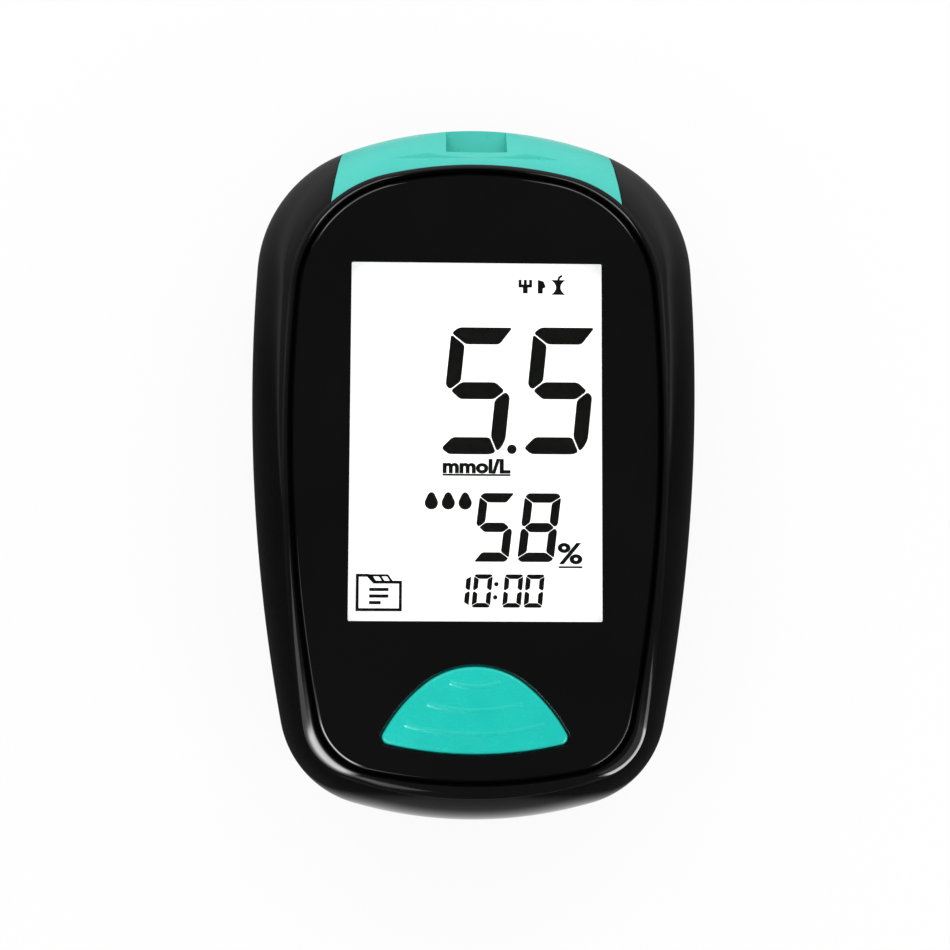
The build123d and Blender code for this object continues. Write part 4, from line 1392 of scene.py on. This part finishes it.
LARGE_FIGURE = Figure(8.76, 16.95, 2.13, 2.42, 1.0, 0.85, 0.7, 0.09, 0.4, 0.1, True)
SMALL_FIGURE = Figure(4.86, 9.05, 1.22, 1.33, 0.5, 0.5, 0.4, 0.05, 0.25, 0.12)
CLOCK_FIGURE = Figure(2.48, 4.36, 0.7, 0.66, 0.22, 0.26, 0.2, 0.035, 0.12)


@dataclass(frozen=True)
class UnitSign:
    """A unit sign that fills a box, with a line under it."""

    text: str
    across: tuple[float, float]
    up: tuple[float, float]
    weight: float  # how much each stroke is thickened, as a share of the letters' size
    line_across: tuple[float, float]
    line_y: float


@dataclass
class Display:
    """Liquid crystal cell, its segments, and the small printed marks that segments can't show."""

    low: float = 22.9
    high: float = 22.98
    figures: tuple[tuple[str, float, float, Figure], ...] = (
        ("5", -5.0, 0.87, LARGE_FIGURE), ("5", 5.8, 0.94, LARGE_FIGURE),
        ("5", -0.53, -13.1, SMALL_FIGURE), ("8", 5.34, -13.1, SMALL_FIGURE),
        ("1", -3.31, -19.0, CLOCK_FIGURE), ("0", -0.52, -19.0, CLOCK_FIGURE),
        ("0", 3.45, -19.0, CLOCK_FIGURE), ("0", 6.22, -19.0, CLOCK_FIGURE),
    )
    dots: tuple[tuple[float, float, float], ...] = (
        (4.72, 1.65, 0.62), (2.75, -15.95, 0.29), (2.6, -17.65, 0.29))
    dot_points: int = 24
    signs: tuple[UnitSign, ...] = (
        UnitSign("mmol/L", (-4.31, 4.55), (-1.56, 0.39), 0.046, (-4.31, 4.55), -1.74),
        UnitSign("%", (10.7, 13.94), (-13.33, -10.54), 0.024, (10.83, 13.93), -13.7),
    )
    underline: float = 0.24
    letter_depth: float = 0.5  # before the letters are fitted to their box
    letter_steps: int = 4  # points on each of their curves
    drops: tuple[tuple[float, float], ...] = ((-5.75, -5.42), (-3.55, -5.42), (-1.35, -5.42))
    drop_radius: float = 0.86
    drop_reach: float = 0.62
    folder_left: float = -15.25
    folder_right: float = -9.67
    folder_low: float = -19.31
    folder_high: float = -15.75
    tab_height: float = 0.87
    outline: float = 0.38
    fine_line: float = 0.28
    ruled_line: float = 0.42
    meal_high: float = 24.15
    meal_low: float = 22.35

    def bar(self, surface: Surface, loop: Array) -> None:
        """Raise a closed plan loop into a thin slab.

        Args:
            surface: where the slab goes.
            loop: its outline.
        """
        surface.grid(np.array([raised(loop, self.low), raised(loop, self.high)]), wrap_columns=True)
        surface.polygon(raised(loop, self.high))
        surface.polygon(raised(loop[::-1], self.low))

    def ribbon(self, surface: Surface, path: Array, width: float, closed: bool) -> None:
        """Raise a line of one width along a path, with mitred corners.

        Each corner's offset is the mean of its two side normals, lengthened so that both sides keep
        the width.

        Args:
            surface: where the line goes.
            path: its middle line.
            width: how wide it is.
            closed: whether the end joins the start.
        """
        after = np.roll(path, -1, axis=0) - path
        unit = after / np.hypot(after[:, 0], after[:, 1])[:, None]
        normal = np.stack([-unit[:, 1], unit[:, 0]], axis=1)
        before = np.roll(normal, 1, axis=0)
        if not closed:
            normal[-1] = before[-1]
            before[0] = normal[0]
        corner = normal + before
        corner /= np.sum(corner * normal, axis=1)[:, None]
        left, right = path + corner * width / 2, path - corner * width / 2
        section = np.array([raised(left, self.low), raised(left, self.high),
                            raised(right, self.high), raised(right, self.low)])
        surface.grid(section, wrap_rows=True, wrap_columns=closed)
        if not closed:
            surface.polygon(section[:, 0])
            surface.polygon(section[::-1, -1])

    def letters(self, surface: Surface, sign: UnitSign) -> None:
        """Raise plain lettering that fills a sign's box.

        Args:
            surface: where the letters go.
            sign: the sign.
        """
        curve = bpy.data.curves.new("unit_sign", "FONT")
        curve.body, curve.offset = sign.text, sign.weight
        curve.extrude, curve.resolution_u = self.letter_depth, self.letter_steps
        holder = placed("unit_sign", curve)
        graph = bpy.context.evaluated_depsgraph_get()
        mesh = bpy.data.meshes.new_from_object(holder.evaluated_get(graph))
        points = np.zeros(len(mesh.vertices) * 3)
        mesh.vertices.foreach_get("co", points)
        points = points.reshape(-1, 3)
        low, high = points.min(axis=0), points.max(axis=0)
        targets = np.array([sign.across, sign.up, (self.low, self.high)])
        fitted = targets[:, 0] + (points - low) / (high - low) * (targets[:, 1] - targets[:, 0])
        for face in mesh.polygons:
            surface.faces.append([corner + surface.count for corner in face.vertices])
        surface.add(fitted, NO_FACES)
        bpy.data.objects.remove(holder)
        bpy.data.meshes.remove(mesh)
        bpy.data.curves.remove(curve)

    def mark(self, surface: Surface, name: str) -> bpy.types.Object:
        """Make a dark piece of the display from its surface."""
        return surface.piece(name, SEGMENT, Body.METER, "segment_dark", crease=30.0)

    def digits(self) -> None:
        """Lit bars of the figures, with the decimal point and the colon of the clock."""
        surface = Surface()
        for digit, x, y, figure in self.figures:
            for loop in figure.bars(digit):
                self.bar(surface, loop + [x, y])
        for x, y, radius in self.dots:
            end = 2 * math.pi * (1 - 1 / self.dot_points)
            self.bar(surface, arc(np.array([x, y]), radius, 0.0, end, self.dot_points))
        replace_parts(self.mark(surface, "display_figures"), "lcd_segments")

    def units(self) -> None:
        """Unit signs with their underlines: under the large figures, and beside the small ones."""
        surface = Surface()
        for sign in self.signs:
            self.letters(surface, sign)
            start, stop = sign.line_across
            line = rounded_box((stop - start) / 2, self.underline / 2, self.underline / 6, sign.line_y)
            self.bar(surface, line + [(start + stop) / 2, 0.0])
        self.mark(surface, "display_units")

    def drop_mark(self) -> None:
        """Three blood drops beside the small figures.

        A drop is r = R (1 + k s^7) round its centre, where s is how far the direction points up.
        """
        surface = Surface()
        turn = np.linspace(0, 2 * math.pi, 60, endpoint=False)
        up = np.clip(np.sin(turn), 0, 1)
        reach = self.drop_radius * (1 + self.drop_reach * up**7)
        drop = np.stack([reach * np.cos(turn), reach * np.sin(turn)], axis=1)
        for place in self.drops:
            self.bar(surface, drop + place)
        self.mark(surface, "display_drop_mark")

    def memory_mark(self) -> None:
        """Folder sign: an outline with a tab on its upper edge, and three ruled lines inside."""
        surface = Surface()
        left, right, low, high = self.folder_left, self.folder_right, self.folder_low, self.folder_high
        top = high + self.tab_height
        outline = [(left, low), (left, top), (left + 1.35, top), (left + 2.15, high), (right, high),
                   (right, low)]
        self.ribbon(surface, np.array(outline), self.outline, True)
        for fold in ([(left + 2.35, high + 0.02), (left + 1.75, top)],
                     [(left + 3.45, high + 0.02), (left + 2.85, top)],
                     [(left + 1.35, top), (left + 3.9, top), (left + 4.5, high)]):
            self.ribbon(surface, np.array(fold), self.fine_line, False)
        start = (left + right) / 2 - 1.25
        for y, length in ((-16.7, 2.5), (-17.55, 2.5), (-18.4, 1.5)):
            self.ribbon(surface, np.array([(start, y), (start + length, y)]), self.ruled_line, False)
        self.mark(surface, "display_memory_mark")

    def meal_mark(self) -> None:
        """Fork, knife and apple core at the top right: a meal has been eaten.

        The core's half width is w = a + b |2 t - 1|^c, where t runs from its foot to its top.
        """
        surface = Surface()
        top, low = self.meal_high, self.meal_low
        fork = [([(x, top), (x, top - 0.7)], self.outline) for x in (5.75, 6.45, 7.15)]
        fork += [([(5.56, top - 0.82), (7.34, top - 0.82)], self.outline),
                 ([(6.45, top - 0.95), (6.45, low)], 0.62)]
        for path, width in fork:
            self.ribbon(surface, np.array(path), width, False)
        self.bar(surface, np.array([(8.1, top), (8.85, top - 0.2), (9.15, top - 0.95),
                                    (8.75, top - 1.15), (8.75, low), (8.1, low)]))
        share = np.linspace(0, 1, 15)
        waist = 0.3 + 0.62 * np.abs(2 * share - 1) ** 2.2
        side = np.stack([waist, 22.2 + 1.95 * share], axis=1)
        self.bar(surface, np.concatenate([side, side[::-1] * [-1, 1]]) + [10.8, 0.0])
        stalk = [(10.8, top - 0.05), (10.92, top + 0.35), (11.3, top + 0.6)]
        self.ribbon(surface, np.array(stalk), 0.26, False)
        self.mark(surface, "display_meal_mark")

    def build(self, nodes: dict[str, bpy.types.Object]) -> None:
        """Make the figures and marks, and dress the carried-over layers.

        Args:
            nodes: the carried-over pieces by their names.
        """
        self.digits()
        self.units()
        self.drop_mark()
        self.memory_mark()
        self.meal_mark()
        # The cell glass has a painted glow, which evens out the shade in the window.
        dress(nodes, {"lcd_glass": LCD_WHITE_PAINTED_GLOW, "lcd_reflector": REFLECTOR, "lcd_holder": FRAME_WHITE,
                      "zebra_connector": RUBBER_GREY})


@dataclass
class Inside:
    """Circuit board and battery pieces that show only through the door opening."""

    finishes: dict[str, Finish] = field(default_factory=lambda: {
        "main_board": BOARD_GREEN, "microcontroller": CHIP_BLACK, "analog_chip": CHIP_BLACK,
        "crystal": STEEL, "buzzer": SWITCH_BLACK, "board_screws": SCREW_STEEL,
        "battery_left": CELL_LEFT, "battery_right": CELL_RIGHT, "battery_springs": SPRING_STEEL,
        "contact_bridge": SPRING_STEEL, "contact_plates": SPRING_STEEL})

    def build(self, nodes: dict[str, bpy.types.Object]) -> None:
        """Dress them."""
        dress(nodes, self.finishes)


# ---------------------------------------------------------------- studio


@dataclass(frozen=True)
class Softbox:
    """A soft area lamp that looks at the meter."""

    name: str
    azimuth: float
    elevation: float
    distance: float
    size: tuple[float, float]
    power: float

    def build(self) -> None:
        """Place the lamp at its bearing and elevation round the meter, turned towards it."""
        lamp = bpy.data.lights.new(self.name, "AREA")
        lamp.shape, lamp.size, lamp.size_y, lamp.energy = "RECTANGLE", *self.size, self.power
        azimuth, elevation = math.radians(self.azimuth), math.radians(self.elevation)
        where = self.distance * Vector((math.cos(elevation) * math.cos(azimuth),
                                        math.cos(elevation) * math.sin(azimuth), math.sin(elevation)))
        holder = placed(self.name, lamp)
        holder.location = where
        holder.rotation_euler = where.to_track_quat("Z", "Y").to_euler()


@dataclass(frozen=True)
class Card:
    """A bright card that shows in reflections alone, as a soft-edged window of directions."""

    azimuths: tuple[float, float]
    elevations: tuple[float, float]
    level: float
    soft: float = 2.5

    def light(self, sky: Layout, azimuth: Socket, elevation: Socket) -> Socket:
        """Its brightness in a direction.

        Args:
            sky: the surroundings' nodes.
            azimuth: socket of the bearing in degrees.
            elevation: socket of the height in degrees.

        Returns:
            The brightness's socket.
        """
        level: Socket | float = self.level
        for value, (low, high) in ((azimuth, self.azimuths), (elevation, self.elevations)):
            for edge, ends in ((low, (0.0, 1.0)), (high, (1.0, 0.0))):
                window = sky.ramp(value, (edge - self.soft, edge + self.soft), ends, SOFT)
                level = sky.math("MULTIPLY", window, level)
        return level


@dataclass
class Studio:
    """White table, soft lamps, and for reflections a dim horizon, a dark ceiling and bright cards."""

    lamps: tuple[Softbox, ...] = (
        Softbox("lower_left_box", -137.0, 45.0, 0.6, (0.65, 0.18), 0.5),
        Softbox("lower_right_box", -39.0, 31.0, 0.6, (0.52, 0.16), 0.6),
        Softbox("upper_left_box", 117.0, 43.0, 0.6, (0.25, 0.2), 0.45),
        Softbox("upper_right_box", 63.0, 43.0, 0.6, (0.25, 0.2), 0.45),
    )
    cards: tuple[Card, ...] = (
        Card((-160.0, -113.0), (46.0, 66.0), 14.0, 7.0),
        Card((-107.0, -102.0), (40.0, 42.0), 3.2, 1.5),
        Card((-62.0, -14.0), (22.0, 38.0), 10.5),
        Card((-62.0, -14.0), (40.0, 58.0), 0.6),
        Card((120.0, 134.0), (40.0, 46.0), 2.5, 1.5),
        Card((46.0, 60.0), (40.0, 46.0), 2.5, 1.5),
    )
    ambient: float = 0.61
    ambient_far: float = 1.13
    ambient_span: tuple[float, float] = (0.1, 0.9)  # parts of the way from straight up to the far side
    horizon: float = 0.12
    horizon_far: float = 0.38
    horizon_far_span: tuple[float, float] = (0.1, 0.8)
    horizon_near: float = 0.2
    horizon_near_span: tuple[float, float] = (-1.0, -0.6)
    horizon_height: tuple[float, float] = (0.1, 0.6)
    overhead: float = 0.07
    table_half: float = 4.0  # metres
    table_points: int = 9
    table_sink: float = 0.00005  # metres, below the back of the meter
    glow_share: float = 0.9  # of the table's look; the rest is lit as it lies
    strip_across: tuple[float, float] = (0.014, 0.028)  # metres, where the bright strip fades out
    strip_along: tuple[float, float] = (0.05, 0.072)  # and where its level changes
    strip_levels: tuple[float, float] = (0.75, 0.2)
    beside: float = 0.03  # level of the dark flags
    beyond_span: tuple[float, float] = (0.015, 0.1)
    target: tuple[float, float, float] = (-0.129, -1.911, 24.66)
    distance: float = 201.3
    tilt: float = 5.144
    yaw: float = -1.495
    roll: float = 0.248
    lens: float = 59.0
    film_width: float = 36.0

    def build_camera(self) -> None:
        """Look down at the display, from a little below its middle."""
        camera = bpy.data.cameras.new("camera")
        camera.lens, camera.sensor_width, camera.clip_start = self.lens, self.film_width, 10 * MM
        tilt, yaw, roll = (math.radians(turn) for turn in (self.tilt, self.yaw, self.roll))
        back = Vector((math.sin(yaw) * math.cos(tilt), -math.sin(tilt), math.cos(yaw) * math.cos(tilt)))
        level = Vector((0, 1, 0)).cross(back).normalized()
        right = level * math.cos(roll) + back.cross(level) * math.sin(roll)
        turn = Matrix((right, back.cross(right), back)).transposed().to_4x4()
        holder = placed("camera", camera)
        place = (Vector(self.target) + self.distance * back) * MM
        holder.matrix_world = Matrix.Translation(place) @ turn
        bpy.context.scene.camera = holder

    def build_floor(self) -> None:
        """Lay the table: it glows for the camera, and in reflections between two dark flags.

        A part of it is lit as it lies, so that it still takes the meter's shadow.
        """
        mesh = bpy.data.meshes.new("table_top")
        count = self.table_points
        side = np.linspace(-self.table_half, self.table_half, count)
        points = raised(np.stack(np.meshgrid(side, side), axis=-1), -self.table_sink)
        mesh.from_pydata(points.reshape(-1, 3), [], grid_faces(count, count).tolist())
        bench = Bench("white_table")
        bench.shader.inputs["Roughness"].default_value = 0.9
        bench.shader.inputs["Specular IOR Level"].default_value = 0.1
        bench.link(bench.blend(bench.noise(60.0), (250, 250, 250), (247, 247, 247)),
                   bench.shader.inputs["Base Color"])
        path = bench.add("ShaderNodeLightPath").outputs
        seen = bench.math("MAXIMUM", path["Is Camera Ray"], path["Is Transmission Ray"])
        share = bench.math("ADD", bench.math("MULTIPLY", seen, self.glow_share), path["Is Glossy Ray"])
        across, along = bench.math("ABSOLUTE", bench.axis("X")), bench.math("ABSOLUTE", bench.axis("Y"))
        ahead = bench.math("MULTIPLY", bench.ramp(across, self.strip_across, (1.0, 0.0), SOFT),
                           bench.ramp(along, self.strip_along, self.strip_levels, SOFT))
        beyond = bench.ramp(bench.axis("Y"), self.beyond_span, (self.beside, self.horizon_far), SOFT)
        shown = bench.math("MAXIMUM", ahead, beyond)
        glow = bench.add("ShaderNodeEmission")
        bench.link(bench.math("MAXIMUM", shown, seen), glow.inputs["Strength"])
        mix = bench.add("ShaderNodeMixShader")
        bench.link(share, mix.inputs[0])
        bench.link(bench.shader.outputs[0], mix.inputs[1])
        bench.link(glow.outputs[0], mix.inputs[2])
        bench.link(mix.outputs[0], bench.output.inputs["Surface"])
        mesh.materials.append(bench.material)
        placed("table_top", mesh)

    def build_world(self) -> None:
        """Set the surroundings: plain light, white to the camera, horizon and cards for reflections."""
        world = bpy.data.worlds.new("surroundings")
        world.use_nodes = True
        bpy.context.scene.world = world
        sky = Layout(world.node_tree)
        parts = sky.add("ShaderNodeSeparateXYZ")
        sky.link(sky.add("ShaderNodeTexCoord").outputs["Generated"], parts.inputs[0])
        along, height = parts.outputs["Y"], parts.outputs["Z"]
        azimuth = sky.math("DEGREES", sky.math("ARCTAN2", along, parts.outputs["X"]))
        elevation = sky.math("DEGREES", sky.math("ARCSINE", height))
        far = sky.ramp(along, self.horizon_far_span, (self.horizon, self.horizon_far), SOFT)
        near = sky.ramp(along, self.horizon_near_span, (self.horizon_near, 0.0), SOFT)
        horizon = sky.math("ADD", far, near)
        low = sky.ramp(height, self.horizon_height, (1.0, 0.0), SOFT)
        level = sky.math("MAXIMUM", sky.math("MULTIPLY", horizon, low), self.overhead)
        for card in self.cards:
            level = sky.math("ADD", level, card.light(sky, azimuth, elevation))
        path = sky.add("ShaderNodeLightPath").outputs
        mixed = sky.ramp(along, self.ambient_span, (self.ambient, self.ambient_far))
        seen = sky.math("MAXIMUM", path["Is Camera Ray"], path["Is Transmission Ray"])
        for share, bright in ((path["Is Glossy Ray"], level), (seen, 1.0)):
            mix = sky.add("ShaderNodeMix", data_type="FLOAT")
            sky.link(share, mix.inputs[0])
            sky.link(mixed, mix.inputs[2])
            if isinstance(bright, float):
                mix.inputs[3].default_value = bright
            else:
                sky.link(bright, mix.inputs[3])
            mixed = mix.outputs[0]
        light = sky.add("ShaderNodeBackground")
        sky.link(mixed, light.inputs["Strength"])
        light.inputs["Color"].default_value = (1, 1, 1, 1)
        sky.link(light.outputs[0], sky.add("ShaderNodeOutputWorld").inputs["Surface"])

    def build(self) -> None:
        """Set up the stage, the lamps and the camera."""
        self.build_floor()
        self.build_world()
        for lamp in self.lamps:
            lamp.build()
        self.build_camera()
        bpy.context.scene.view_settings.view_transform = "Standard"


def main() -> None:
    """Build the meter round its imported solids."""
    logging.basicConfig(level=logging.INFO, format="%(message)s")
    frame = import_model()
    nodes = frame["nodes"]
    Studio().build()
    for assembly in (Case(), PortCap(), FacePanel(), Button(), Display(), Inside()):
        assembly.build(nodes)


if __name__ == "__main__":
    main()
